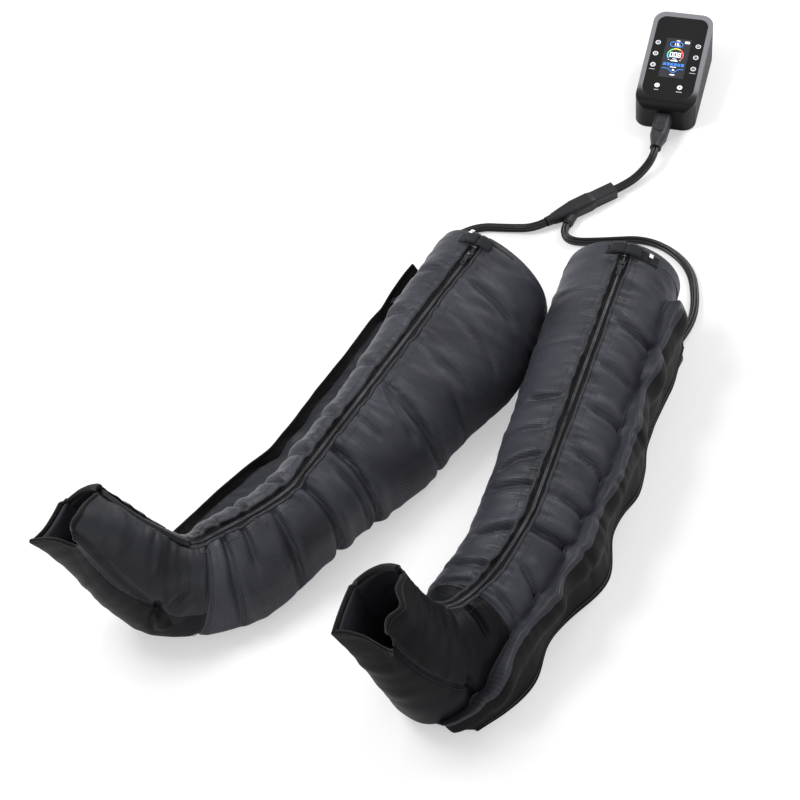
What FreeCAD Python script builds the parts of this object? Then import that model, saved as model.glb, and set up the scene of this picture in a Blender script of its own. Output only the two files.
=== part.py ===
import FreeCAD, Part
import math
import os

V = FreeCAD.Vector
UP = V(0, 0, 1)

# ---------------------------------------------------------------- pump housing
pump_place = V(109, 648, 0)          # lower end of the pump, middle of its width, on the floor
pump_turn = 11.5                     # degrees about the vertical
pump_width = 128.0
pump_length = 248.0
pump_low_height = 66.0               # height of the face where it meets the lower end
face_tilt = 8.5                      # the face rises towards the far end, degrees
housing_wall = 2.5
corner_radius = 27.0                 # the four upright corners
lip_radius = 20.0                    # the roll from the face into the lower end
parting_depth = 10.0                 # bezel depth below the face
apron_depth = 15.0                   # how far the front shell wraps round the lower end
seam_gap = 0.3
foot_height = 2.5
foot_radius = 7.0
foot_recess = 0.5
foot_inset = 24.0
foot_low_inset = 30.0                 # from the lower end, clear of the apron

# front panel, screen and keys, on the tilted face
panel_width = pump_width - 20
panel_low = 24.0                     # from the lower end of the face to the panel
panel_high = pump_length - 10
panel_thickness = 2.0
panel_recess = 2.2
panel_low_radius = 27.0
panel_high_radius = 20.0
fit_gap = 0.3
rod_sides = 10                       # small round parts are drawn with flat sides
disc_sides = 14
screen_width = 53.0
screen_length = 104.0
screen_centre = 129.0                # along the face
screen_ledge = 2.0
lens_corner = 1.2
display_depth = 5.0
key_radius = 6.6
key_proud = 0.5
key_travel = 0.8
key_stem = 7.0                       # side of the square stem
key_cap_height = key_proud + panel_recess - key_travel - fit_gap   # stays off the shell when pressed
key_column = panel_width / 2 - 11     # side keys, from the middle line
key_rows = {"top": 36.4, "middle": 6.5, "low": -23.6}   # from the screen's centre
base_key_column = panel_width / 4.5
base_key_row = -76.0
board_thickness = 1.6
key_board_depth = 13.0               # from the face to the top of the key board
key_board_width = panel_width - 14
switch_side = 6.0
switch_height = 1.2
post_radius = 4.0
post_column = pump_width / 2 - 10
post_rows = (36.0, pump_length - 36)
board_low = 42.0                      # key board, from the lower end
board_high = pump_length - 34
screw_radius = 1.5
screw_head_radius = 2.8
screw_head_height = 2.0
boss_height = 22.0
screw_bite = 12.0                     # how far a screw goes into its post

# what the pump holds
battery_size = (78.0, 58.0, 21.0)
battery_start = pump_length - battery_size[1] - 22   # from the lower end
main_board_size = (88.0, 72.0, 1.6)
main_board_start = battery_start - 14
main_board_height = 34.0
standoff_side = 5.0
standoff_columns = (-30.0, 30.0)
standoff_rows = (12.0, 46.0)          # from the near edge of the battery
board_chips = ((16, 16, 2, -14, 30), (22, 10, 6, 20, 14), (8, 8, 9, -34, 10))   # size, then place
battery_edge = 3.0                    # rounding of the cells' wrap
motor_radius = 15.0
motor_length = 46.0
motor_cap = (5.2, 4.0)                # radius and length
pump_head_edge = 3.0
pump_head_size = (40.0, 30.0, 36.0)
compressor_start = 96.0
compressor_column = -28.0             # pump head, from the middle line
manifold_size = (76.0, 22.0, 20.0)
manifold_start = 50.0
valve_side = 12.0
valve_height = 16.0
inner_tube_radius = 2.5
jack_radius = 5.5
jack_bore_radius = 2.75
jack_flange = 2.0                     # how far its collar stands out, and its closed end
jack_length = 11.0
jack_height = 36.0

# outlet socket and the plug in it
port_spacing = 11.0                  # the four air ways, 2 by 2
port_radius = 3.0
port_gap = 0.2
socket_size = (38.0, 24.0, 31.0)     # width, depth, height
plug_axis_height = 31.0
nose_size = (29.0, 9.0, 22.0)
nose_gap = 0.4
spigot_length = 8.0
plug_width = 37.0
plug_height = 30.0
plug_length = 88.0
plug_tail_radius = 11.0
plug_button_size = (17.0, 25.0, 4.0)
plug_button_start = 26.0
plug_button_travel = 1.5
plug_button_proud = 1.0

# hoses and the splitter between the legs
hose_diameter = 18.0                 # over the bundle of four tubes
hose_sides = 10
hose_step = 18.0                     # turn of a hose between two of its sections, degrees
run_share = 0.45                     # share of a straight run that the bend at its end takes
corner_steps = 4                     # facets of a quarter turn in plug, splitter and reliefs
splitter_turn = 235.0                # heading of the splitter, from the collar to its tail, degrees
splitter_start = V(88, 434, 16)     # collar end of the inline plug
inline_size = (28.0, 50.0, 26.0)
inline_nose = (20.0, 9.0, 17.0)      # pushed into the wide end of the splitter
splitter_length = 96.0
splitter_width = 35.0
splitter_height = 30.0
splitter_tail = (24.0, 22.0)
outlet_place = V(36, 317, 12.5)      # end of the side outlet, which points along -y
outlet_radius = 11.0
outlet_length = 32.0
outlet_relief_length = 5.0
relief_length = 16.0
main_hose_points = [(126.7, 561.2, 31), (132, 535, 31), (124, 500, 21), (108.9, 463.8, 16), (88.2, 434.3, 16)]

# ---------------------------------------------------------------- leg sleeves
cover_wall = 2.0
chamber_gap = 0.6                    # between a chamber and the layer beside it
chamber_depth = 6.0
lining_wall = 1.5
chamber_spacing = 3.0                # between one chamber and the next
chamber_steps = (2, 4, 5)            # stations where one chamber ends and the next starts
slot_width = 27.0                    # where the zip joins the two edges
tape_gap = 0.4
tape_thickness = 1.0
tape_drop = 2.4                      # top of the tape below the crest of the sleeve
chain_width = 2.2
chain_height = 2.6
chain_split = 1.4                    # between the two rows of teeth
slider_length = 17.0
slider_width = 13.0
slider_plate = 1.6
slider_gap = 0.35
slider_start = 44.0                  # from the thigh end
slider_travel = 500.0
pull_length = 26.0
pull_width = 8.0
pull_thickness = 1.6
bail_wire = 1.6
bail_height = 2.25                   # middle of the bail above the slider
bail_span = 7.4                      # between the middles of both uprights
slider_post = 4.0
pull_neck = 4.8                      # width of the eye
pull_shoulder = 3.0                  # where the blade of the pull starts
pull_hole = (6.0, 3.6)
eye_radius = 2.0
eye_gap = 0.4
strap_width = 25.0
strap_thickness = 2.0
strap_start = 7.0
strap_lift = 0.8
strap_slack = 0.6
strap_reach = 17.0                   # degrees round the sleeve from the crest
long_strap_reach = 30.0
ring_wire = 2.4
ring_depth = 14.0
pocket_thickness = 4.0
pocket_gap = 0.9
steps_to_seam = 3                    # the pocket is sewn on below this vertex of a section
socket_gap = 0.7                     # between the hose socket and the pocket
socket_block = (34.0, 46.0, 24.0)    # hose socket of a sleeve: width, length, height
end_margin = 4.0                     # chambers and lining stop this far inside the ends

# crest line of each sleeve, then its stations: distance along the crest, sideways place of the tube, width
sleeves = {
    "right": {
        "side": -1,
        "strap_side": -1,             # the long strap runs to the inner side
        "pocket_on_foot": False,
        "crest": (V(-18, 60, 218), V(-98, -570, 177)),
        "leg": [(0, -14, 240), (185, -40, 244), (333, -36, 200), (457, -36, 178), (636, -9, 160)],
        "ankle": [(V(-180, -695, 157), V(-146, -752, 0), 156)],
        "foot": [
            (V(-216, -740, 160), V(-268, -855, 8), 158),
            (V(-256, -758, 200), V(-330, -878, 92), 150),
            (V(-303, -770, 245), V(-374, -882, 168), 140),
            (V(-356, -774, 296), V(-416, -885, 246), 130),
        ],
    },
    "left": {
        "side": 1,
        "strap_side": 1,              # the long strap runs to the outer side
        "pocket_on_foot": True,
        "crest": (V(244, 148, 216), V(314, -445, 176)),
        "leg": [(0, -14, 226), (165, -16, 222), (300, -16, 210), (420, -8, 216), (600, -16, 190)],
        "ankle": [(V(292, -622, 164), V(274, -638, 0), 182)],
        "foot": [
            (V(254, -685, 172), V(260, -826, 10), 172),
            (V(234, -700, 208), V(222, -842, 92), 156),
            (V(217, -708, 250), V(178, -840, 172), 140),
            (V(199, -710, 292), V(136, -836, 246), 130),
        ],
    },
}
branch_hoses = {
    "right": [(-5.4, 300.9, 16), (-21.5, 277.9, 15), (-68, 264, 9), (-140, 240, 9), (-180, 165, 9),
              (-184, 100, 9), (-168, 38, 9)],
    "left": [(36, 311.7, 12.5), (36, 289, 12.5), (62, 276, 9), (116, 299, 9), (208, 345, 9), (306, 310, 9),
             (354, 222, 9), (366, 150, 9), (354, 92, 9)],
}
# free edge of the pocket along the outer side of each sleeve
pocket_hems = {
    "right": [(-189, 66, 40), (-212, 16, 0.3), (-224, -153, 0.3), (-234, -227, 0.3), (-242, -372, 0.3),
              (-309, -608, 0.3), (-314, -676, 26)],
    "left": [(372, 143, 60), (382, 29, 0.3), (388, -85, 0.3), (420, -237, 0.3), (415, -338, 0.3),
             (444, -424, 0.3), (403, -569, 0.3), (408, -687, 0.3), (364, -796, 4)],
}
pocket_bulge = 10.0
pocket_seam_width = 6.4
seam_share = 0.1                      # of the way to the next vertex
ring_angles = [70 - 20 * i for i in range(17)]   # vertices of a section, between the two edges of the slot

nodes = {}


def keep(name, shape):
    nodes[name] = shape


# ---------------------------------------------------------------- plain helpers
def box(width, depth, height, centre=V(0, 0, 0), base=0.0):
    """A block centred in x and y on centre, standing on base."""
    return Part.makeBox(width, depth, height, V(centre.x - width / 2, centre.y - depth / 2, base))


def rounded_rect(width, low, high, low_radius, high_radius):
    """Outline in the xy plane from y = low to y = high, with its own radius at each end."""
    half = width / 2
    corners = [
        (V(half - low_radius, low + low_radius, 0), low_radius, -90),
        (V(half - high_radius, high - high_radius, 0), high_radius, 0),
        (V(-half + high_radius, high - high_radius, 0), high_radius, 90),
        (V(-half + low_radius, low + low_radius, 0), low_radius, 180),
    ]
    edges = []
    ends = []
    for centre, radius, start in corners:
        points = [centre + V(math.cos(math.radians(t)), math.sin(math.radians(t)), 0) * radius
                  for t in (start, start + 45, start + 90)]
        ends.append((points[0], points[2]))
        edges.append(Part.Arc(*points).toShape())
    for i in range(4):
        start, end = ends[i][1], ends[(i + 1) % 4][0]
        if start.distanceToPoint(end) > 1e-6:
            edges.append(Part.makeLine(start, end))
    return Part.Wire(Part.__sortEdges__(edges))


def round_bar(radius, height, foot, direction=UP, sides=disc_sides):
    """A round bar from foot along a direction, with flat sides."""
    corners = []
    for i in range(sides + 1):
        t = 2 * math.pi * (i % sides + 0.5) / sides
        corners.append(V(radius * math.cos(t), radius * math.sin(t), 0))
    bar = Part.Face(Part.makePolygon(corners)).extrude(UP * height)
    bar.Placement = FreeCAD.Placement(foot, FreeCAD.Rotation(UP, direction))
    return bar


def prism(wire, base, height):
    wire = wire.copy()
    wire.translate(V(0, 0, base))
    return Part.Face(wire).extrude(V(0, 0, height))


# ---------------------------------------------------------------- pump
def face_height(y, inset=0.0):
    return pump_low_height + y * math.tan(math.radians(face_tilt)) - inset / math.cos(math.radians(face_tilt))


def on_face(shape):
    """Turns a shape drawn on a flat face into its place on the tilted one."""
    shape = shape.copy()
    shape.rotate(V(0, 0, 0), V(1, 0, 0), face_tilt)
    shape.translate(V(0, 0, pump_low_height))
    return shape


def housing(inset):
    """The outside of the pump, or an inner skin of it."""
    tilt = math.radians(face_tilt)
    radius = lip_radius - inset
    reach = radius * math.tan((math.pi / 2 - tilt) / 2)
    corner = V(0, inset, face_height(inset, inset))
    wall_end = corner - V(0, 0, reach)
    face_start = corner + V(0, math.cos(tilt), math.sin(tilt)) * reach
    centre = wall_end + V(0, radius, 0)
    middle = math.radians(135 + face_tilt / 2)
    arc_middle = centre + V(0, math.cos(middle), math.sin(middle)) * radius
    top = V(0, pump_length - inset, face_height(pump_length - inset, inset))
    floor = foot_height - foot_recess + inset
    profile = Part.Wire([
        Part.makeLine(V(0, inset, floor), wall_end),
        Part.Arc(wall_end, arc_middle, face_start).toShape(),
        Part.makeLine(face_start, top),
        Part.makeLine(top, V(0, pump_length - inset, floor)),
        Part.makeLine(V(0, pump_length - inset, floor), V(0, inset, floor)),
    ])
    profile.translate(V(-pump_width, 0, 0))
    side = Part.Face(profile).extrude(V(2 * pump_width, 0, 0))
    outline = rounded_rect(pump_width - 2 * inset, inset, pump_length - inset,
                           corner_radius - inset, corner_radius - inset)
    return side.common(prism(outline, 0, 2 * pump_low_height))


def key_places():
    places = {}
    for side, sign in (("left", -1), ("right", 1)):
        for row, offset in key_rows.items():
            places[f"key_{side}_{row}"] = V(sign * key_column, screen_centre + offset, 0)
        places[f"key_base_{side}"] = V(sign * base_key_column, screen_centre + base_key_row, 0)
    return places


def build_shells():
    outside = housing(0)
    hollow = housing(housing_wall)
    shell = outside.cut(hollow)
    # the front shell is the bezel, the face and the apron over the lower end
    tub_top = -parting_depth - seam_gap
    face_slab = on_face(Part.makeBox(2 * pump_width, 2 * pump_length, pump_low_height,
                                     V(-pump_width, -pump_length / 2, -parting_depth)))
    tub_slab = on_face(Part.makeBox(2 * pump_width, 2 * pump_length, 3 * pump_low_height,
                                    V(-pump_width, -pump_length / 2, tub_top - 3 * pump_low_height)))
    apron = Part.makeBox(2 * pump_width, apron_depth + 1, 2 * pump_low_height, V(-pump_width, -1, 0))
    behind = Part.makeBox(2 * pump_width, pump_length, 2 * pump_low_height,
                          V(-pump_width, apron_depth + seam_gap, 0))
    front = shell.common(face_slab.fuse(apron))
    tub = shell.common(tub_slab).common(behind)
    # the panel lies in a recess on a floor of its own
    recess_floor = prism(panel_outline(-2 * housing_wall), -panel_recess - housing_wall, housing_wall + 1)
    recess_floor = on_face(recess_floor)
    front = front.fuse(recess_floor.common(housing(0)))
    ledge = rounded_rect(screen_width - 2 * screen_ledge, screen_centre - screen_length / 2 + screen_ledge,
                         screen_centre + screen_length / 2 - screen_ledge, 1, 1)
    front = front.cut(on_face(prism(ledge, -parting_depth, parting_depth + 1)))
    for place in key_places().values():
        side = key_stem + 2 * fit_gap
        hole = box(side, side, parting_depth + 1, place, -parting_depth)
        front = front.cut(on_face(hole))
    for x in (-post_column, post_column):
        for y in post_rows:
            top = face_height(y, panel_recess + housing_wall / 2)
            start = boss_height + seam_gap
            post = round_bar(post_radius, top - start, V(x, y, start), sides=rod_sides)
            drill = round_bar(screw_radius, screw_bite, V(x, y, start), sides=rod_sides)
            front = front.fuse(post.common(outside)).cut(drill)
            boss = round_bar(post_radius, boss_height - foot_height, V(x, y, foot_height), sides=rod_sides)
            tub = tub.fuse(boss.common(outside))
            tub = tub.cut(round_bar(screw_radius + fit_gap, boss_height, V(x, y, 0), sides=rod_sides))
            tub = tub.cut(round_bar(screw_head_radius + fit_gap, foot_height + screw_head_height + fit_gap,
                                    V(x, y, 0), sides=rod_sides))
    front = front.cut(on_face(prism(panel_outline(-fit_gap), -panel_recess, panel_recess + 5)))
    for x, y in foot_places():
        tub = tub.cut(round_bar(foot_radius + fit_gap, foot_height, V(x, y, 0)))
    # the opening for the outlet socket and the one for the charging jack
    opening = box(socket_size[0], socket_size[1], socket_size[2], V(0, 0, 0),
                  plug_axis_height - socket_size[2] / 2)
    front = front.cut(opening)
    tub = tub.cut(round_bar(jack_radius, 3 * housing_wall, V(0, pump_length + 1, jack_height), V(0, -1, 0)))
    keep("front_shell", front)
    keep("rear_shell", tub)


def foot_places():
    half = pump_width / 2 - foot_inset
    return [(x, y) for x in (-half, half) for y in (foot_low_inset, pump_length - foot_inset)]


def panel_outline(shrink=0.0):
    return rounded_rect(panel_width - 2 * shrink, panel_low + shrink, panel_high - shrink,
                        panel_low_radius - shrink, panel_high_radius - shrink)


def build_face():
    panel = prism(panel_outline(), -panel_recess, panel_thickness)
    window = rounded_rect(screen_width + 2 * fit_gap, screen_centre - screen_length / 2 - fit_gap,
                          screen_centre + screen_length / 2 + fit_gap, lens_corner, lens_corner)
    panel = panel.cut(prism(window, -panel_recess - 1, panel_recess + 2))
    for place in key_places().values():
        panel = panel.cut(round_bar(key_radius + fit_gap, 2 * panel_recess, place - UP * panel_recess * 1.5))
    keep("front_panel", on_face(panel))
    glass = rounded_rect(screen_width, screen_centre - screen_length / 2, screen_centre + screen_length / 2,
                         lens_corner, lens_corner)
    keep("screen_lens", on_face(prism(glass, -panel_recess, panel_thickness)))
    ceiling = -panel_recess - housing_wall
    display = box(screen_width, screen_length, display_depth, V(0, screen_centre, 0), ceiling - display_depth)
    keep("display_module", on_face(display))
    board = Part.makeBox(key_board_width, board_high - board_low, board_thickness,
                         V(-key_board_width / 2, board_low, -key_board_depth - board_thickness))
    for place in key_places().values():
        board = board.fuse(box(switch_side, switch_side, switch_height, place, -key_board_depth))
    keep("key_board", on_face(board))
    for name, place in key_places().items():
        cap_base = key_proud - key_cap_height
        cap = round_bar(key_radius, key_cap_height, place + UP * cap_base)
        stem_end = -key_board_depth + switch_height + key_travel + 0.1
        stem = box(key_stem, key_stem, cap_base - stem_end, place, stem_end)
        keep(name, on_face(cap.fuse(stem)))


def build_insides():
    floor = foot_height - foot_recess + housing_wall
    width, depth, height = battery_size
    battery = box(width, depth, height, V(0, battery_start + depth / 2, 0), floor)
    upright = [e for e in battery.Edges if e.BoundBox.ZLength > 1]
    keep("battery_pack", battery.makeFillet(battery_edge, upright))
    width, depth, height = main_board_size
    board = box(width, depth, height, V(0, main_board_start + depth / 2, 0), main_board_height)
    battery_top = floor + battery_size[2]
    rise = main_board_height - battery_top
    standoffs = [box(standoff_side, standoff_side, rise, V(x, battery_start + y, 0), battery_top)
                 for x in standoff_columns for y in standoff_rows]
    chips = [box(w, d, h, V(x, battery_start + y, 0), main_board_height + height)
             for w, d, h, x, y in board_chips]
    for piece in standoffs + chips:
        board = board.fuse(piece)
    keep("main_board", board)
    # diaphragm air pump: a motor lying on its side and a square head
    width, depth, height = pump_head_size
    head = box(width, depth, height, V(compressor_column, compressor_start + depth / 2, 0), floor)
    axis_height = floor + height / 2
    motor_start = V(compressor_column + width / 2, compressor_start + depth / 2, axis_height)
    motor = round_bar(motor_radius, motor_length, motor_start, V(1, 0, 0))
    cap = round_bar(*motor_cap, motor_start + V(motor_length, 0, 0), V(1, 0, 0))
    keep("air_pump", head.makeChamfer(pump_head_edge, head.Edges).fuse(motor).fuse(cap))
    width, depth, height = manifold_size
    manifold = box(width, depth, height, V(0, manifold_start + depth / 2, 0), floor)
    for i in range(4):
        x = (i - 1.5) * width / 4
        valve = box(valve_side, valve_side, valve_height, V(x, manifold_start + depth / 2, 0), floor + height)
        manifold = manifold.fuse(valve)
    keep("valve_manifold", manifold)
    tubes = []
    for dx in (-port_spacing / 2, port_spacing / 2):
        tubes.append(flat_sided_rod(inner_tube_radius, socket_back() + seam_gap,
                                    manifold_start - seam_gap, dx, floor + manifold_size[2] / 2 + 4))
    tubes.append(flat_sided_rod(inner_tube_radius, manifold_start + manifold_size[1] + seam_gap,
                                compressor_start - seam_gap, compressor_column, floor + 10))
    keep("inner_tubes", Part.makeCompound(tubes))
    inward = V(0, -1, 0)
    mouth = V(0, pump_length, jack_height)
    jack = round_bar(jack_radius - fit_gap, jack_length, mouth, inward, rod_sides)
    jack = jack.fuse(round_bar(jack_radius + jack_flange, jack_length - housing_wall - fit_gap,
                               mouth + inward * (housing_wall + fit_gap), inward, rod_sides))
    jack = jack.cut(Part.makeCylinder(jack_bore_radius, jack_length - jack_flange, mouth, inward))
    keep("charge_jack", jack)
    feet = [round_bar(foot_radius, foot_height, V(x, y, 0)) for x, y in foot_places()]
    keep("rubber_feet", Part.makeCompound(feet))
    screws = []
    for x in (-post_column, post_column):
        for y in post_rows:
            seat = V(x, y, foot_height + fit_gap)
            head = round_bar(screw_head_radius, screw_head_height, seat, sides=rod_sides)
            shank = round_bar(screw_radius - 0.1, boss_height + screw_bite / 2, seat, sides=rod_sides)
            screws.append(head.fuse(shank).removeSplitter())
    keep("shell_screws", Part.makeCompound(screws))


def socket_back():
    return socket_size[1]


def port_places(height):
    return [(dx, height + dz) for dx in (-port_spacing / 2, port_spacing / 2)
            for dz in (-port_spacing / 2, port_spacing / 2)]


def build_outlet():
    width, depth, height = socket_size
    socket = box(width - 2 * fit_gap, depth - fit_gap, height - 2 * fit_gap, V(0, (depth + fit_gap) / 2, 0),
                 plug_axis_height - height / 2 + fit_gap)
    nose_width, nose_depth, nose_height = nose_size
    mouth = box(nose_width + 2 * nose_gap, 2 * (nose_depth + nose_gap), nose_height + 2 * nose_gap,
                base=plug_axis_height - nose_height / 2 - nose_gap)
    socket = socket.cut(mouth)
    for x, z in port_places(plug_axis_height):
        socket = socket.cut(flat_sided_rod(port_radius, 0, depth, x, z))
    keep("outlet_socket", socket)
    nose = plug_nose(nose_width, nose_depth, nose_height)
    nose.translate(V(0, 0, plug_axis_height))
    keep("plug_nose", nose)


def plug_nose(width, depth, height):
    """A block with four hollow spigots, along +y from the plug's end at y = 0."""
    nose = box(width, depth, height, V(0, depth / 2, 0), -height / 2)
    nose = nose.makeChamfer(2, [e for e in nose.Edges if e.BoundBox.YLength > depth - 1])
    for x, z in port_places(0):
        nose = nose.fuse(flat_sided_rod(port_radius - port_gap, 0, depth + spigot_length, x, z))
    for x, z in port_places(0):
        nose = nose.cut(flat_sided_rod(port_radius / 2, 1, depth + spigot_length, x, z))
    return nose


def flat_sided_rod(radius, start, end, x, z):
    """A rod along y with a few flat sides."""
    return round_bar(radius, end - start, V(x, start, z), V(0, 1, 0), rod_sides)


def block_section(width, height, y, radius):
    """Corners of a rounded rectangle across the y axis."""
    points = []
    for quarter in range(4):
        sideways = width / 2 - radius if quarter in (0, 3) else radius - width / 2
        upward = height / 2 - radius if quarter < 2 else radius - height / 2
        for step in range(corner_steps + 1):
            t = math.radians(90 * quarter + 90 * step / corner_steps)
            points.append(V(sideways + radius * math.cos(t), y, upward + radius * math.sin(t)))
    return points


def through_sections(sections):
    """The closed solid through closed outlines with equally many corners."""
    triangles = []
    count = len(sections[0])
    for before, after in zip(sections, sections[1:]):
        for j in range(count):
            k = (j + 1) % count
            triangles += [(before[j], before[k], after[k]), (before[j], after[k], after[j])]
    for end in (sections[0], sections[-1]):
        middle = sum(end[1:], V(end[0])) * (1 / count)
        triangles += [(middle, end[j], end[(j + 1) % count]) for j in range(count)]
    return solid_of(triangles)


def solid_of(triangles):
    faces = [Part.Face(Part.makePolygon([a, b, c, a])) for a, b, c in triangles]
    shell = Part.makeShell(faces)
    shell.sewShape()
    solid = Part.makeSolid(shell)
    if solid.Volume < 0:
        solid.reverse()
    return solid


def build_plug():
    tail = 2 * plug_tail_radius
    sections = [(0, plug_width, plug_height, 7.0),
                (plug_button_start + 30, plug_width - 2, plug_height - 1, 9.0),
                (plug_length - 14, plug_width - 12, plug_height - 6, 9.5),
                (plug_length - 4, tail, tail, 10.0),
                (plug_length - 3, tail + 2, tail + 2, 11.0),
                (plug_length, tail + 2, tail + 2, 11.0)]
    body = through_sections([block_section(w, h, -y - seam_gap, r) for y, w, h, r in sections])
    width, length, height = plug_button_size
    top = plug_height / 2
    middle = V(0, -plug_button_start - length / 2, top - height)
    pocket = oval_prism(width + 2 * fit_gap, length + 2 * fit_gap, height + 2 * plug_button_travel,
                        middle - UP * plug_button_travel)
    body = body.cut(pocket)
    button = oval_prism(width, length, height + plug_button_proud, middle)
    for name, shape in (("plug_shell", body), ("plug_button", button)):
        shape.translate(V(0, 0, plug_axis_height))
        keep(name, shape)


def oval_prism(width, length, height, base):
    """An upright block with two round ends, centred on base."""
    corners = [base + V(p.x, p.z, 0) for p in block_section(width, length, 0, width / 2 - 0.01)]
    return Part.Face(Part.makePolygon(corners + corners[:1])).extrude(UP * height)


def place_pump():
    """Puts everything built so far from the pump's own frame into its place on the floor."""
    for shape in nodes.values():
        shape.rotate(V(0, 0, 0), UP, pump_turn)
        shape.translate(pump_place)


# ---------------------------------------------------------------- hoses and splitter
def along_splitter(shape):
    """From a frame that points along +y to the splitter's own line on the floor."""
    shape = shape.copy()
    shape.rotate(V(0, 0, 0), UP, splitter_turn - 90)
    shape.translate(splitter_start)
    return shape


def build_splitter():
    width, length, height = inline_size
    collar = box(width, length, height, V(0, length / 2, 0), -height / 2)
    collar = collar.makeFillet(3, [e for e in collar.Edges if e.BoundBox.YLength > length - 1])
    nose_width, nose_length, nose_height = inline_nose
    nose = box(nose_width, nose_length + 1, nose_height, V(0, length + (nose_length - 1) / 2, 0),
               -nose_height / 2)
    keep("inline_plug", along_splitter(collar.fuse(nose)))
    start = length + seam_gap
    tail_width, tail_height = splitter_tail
    sections = [(0, splitter_width - 5, splitter_height - 3, 6.0),
                (10, splitter_width, splitter_height, 8.0),
                (48, splitter_width + 2, splitter_height - 1, 10.0),
                (78, tail_width + 4, tail_height + 3, 9.0),
                (splitter_length, tail_width, tail_height, 10.0)]
    body = through_sections([block_section(w, h, start + y, r) for y, w, h, r in sections])
    body = body.cut(box(nose_width + 2 * nose_gap, 2 * (nose_length + nose_gap), nose_height + 2 * nose_gap,
                        V(0, start, 0), -nose_height / 2 - nose_gap))
    body = along_splitter(body)
    outlet = tapered_rod(outlet_radius, outlet_radius, outlet_length)
    outlet.translate(outlet_place)
    keep("splitter_shell", body.fuse(outlet))
    relief = tapered_rod(tail_height / 2, hose_diameter / 2 + 1, relief_length)
    relief.translate(V(0, start + splitter_length, 0))
    keep("tail_relief", along_splitter(relief))
    relief = tapered_rod(hose_diameter / 2 + 0.5, outlet_radius - 1, outlet_relief_length)
    relief.translate(outlet_place - V(0, outlet_relief_length, 0))
    keep("outlet_relief", relief)


def tapered_rod(start_radius, end_radius, length):
    """A straight many-sided rod along +y."""
    ends = ((0, start_radius), (length, end_radius))
    return through_sections([block_section(2 * r, 2 * r, y, r - 0.2) for y, r in ends])


def route_tube(points, radius):
    """A tube of straight runs joined by tangent arcs, as large as the runs allow."""
    points = [V(*p) for p in points]
    heading = (points[1] - points[0]).normalize()
    across = heading.cross(UP).normalize()
    stops = [(points[0], heading)]
    length = 0
    for before, corner, after in zip(points, points[1:], points[2:]):
        onward = (after - corner).normalize()
        turn = heading.getAngle(onward)
        reach = run_share * min((corner - before).Length, (after - corner).Length)
        bend = reach / math.tan(turn / 2)
        inward = (onward - heading * math.cos(turn)).normalize()
        start = corner - heading * reach
        steps = max(1, round(math.degrees(turn) / hose_step))
        for k in range(steps + 1):
            angle = turn * k / steps
            place = start + heading * bend * math.sin(angle) + inward * bend * (1 - math.cos(angle))
            stops.append((place, heading * math.cos(angle) + inward * math.sin(angle)))
        length += bend * turn - 2 * reach
        heading = onward
    stops.append((points[-1], heading))
    length += sum((b - a).Length for a, b in zip(points, points[1:]))
    rings = []
    for place, heading in stops:
        across = (across - heading * across.dot(heading)).normalize()
        upward = across.cross(heading)
        angles = [2 * math.pi * i / hose_sides for i in range(hose_sides)]
        rings.append([place + (across * math.cos(t) + upward * math.sin(t)) * radius for t in angles])
    print("route", round(length), "mm")
    return through_sections(rings)


# ---------------------------------------------------------------- sleeves
def sleeve_stations(spec):
    """Each station as its middle, half-height vector, outward unit vector and half width."""
    crest_start, crest_end = spec["crest"]
    along = (crest_end - crest_start).normalize()
    flat = V(along.x, along.y, 0).normalize()
    outward = flat.cross(UP) * spec["side"]
    if outward.x * spec["side"] < 0:
        outward = outward * -1
    raw = []
    for distance, offset, width in spec["leg"]:
        crest = crest_start + along * distance
        middle = crest - UP * (crest.z / 2) + outward * offset
        raw.append((crest, middle * 2 - crest, width))
    raw += spec["ankle"] + spec["foot"]
    middles = [(crest + base) * 0.5 for crest, base, width in raw]
    stations = []
    for i, (crest, base, width) in enumerate(raw):
        half = (crest - base) * 0.5
        before, after = middles[max(i - 1, 0)], middles[min(i + 1, len(raw) - 1)]
        tangent = (after - before).normalize()
        if i < len(spec["leg"]):
            tangent, across = flat, outward
        elif base.z == 0:
            across = V(tangent.x, tangent.y, 0).normalize().cross(UP)
        else:
            across = tangent.cross(half).normalize()
        if across.x * spec["side"] < 0:
            across = across * -1
        upward = UP if i < len(spec["leg"]) else V(half).normalize()
        stations.append({"middle": middles[i], "half": half, "across": across, "reach": width / 2,
                         "tangent": tangent, "up": upward, "lying": base.z == 0})
    return stations


def ring_point(station, inset, degrees):
    """A point of a section, measured from the outer side of the leg towards the crest."""
    c, s = math.cos(math.radians(degrees)), math.sin(math.radians(degrees))
    power = 2.5 if s < -0.01 and station["lying"] else 2.0
    sideways = math.copysign(abs(c) ** (2 / power), c) * (station["reach"] - inset)
    upward = math.copysign(abs(s) ** (2 / power), s) * (station["half"].Length - inset)
    return section_point(station, sideways, upward)


def section_point(station, sideways, upward):
    return station["middle"] + station["across"] * sideways + V(station["half"]).normalize() * upward


def crest_point(station, sideways, lift):
    """A point beside and above the crest."""
    return station["middle"] + station["half"] + station["across"] * sideways + station["up"] * lift


def slot_point(station, inset, sideways):
    """A point of a section above a given place across the slot."""
    share = sideways / (station["reach"] - inset)
    height = station["half"].Length
    return crest_point(station, sideways, (height - inset) * math.sqrt(1 - share * share) - height)


def section(station, inset, slot):
    points = [slot_point(station, inset, slot)]
    points += [ring_point(station, inset, degrees) for degrees in ring_angles]
    points.append(slot_point(station, inset, -slot))
    return points


def part_way(rows, position):
    """The row at a fractional place along a list of rows."""
    i = min(int(position), len(rows) - 2)
    share = position - i
    return [a * (1 - share) + b * share for a, b in zip(rows[i], rows[i + 1])]


def stretch(rows, low, high):
    """The rows between two fractional places, both ends included."""
    inner = [rows[i] for i in range(len(rows)) if low + 1e-6 < i < high - 1e-6]
    return [part_way(rows, low)] + inner + [part_way(rows, high)]


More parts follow.
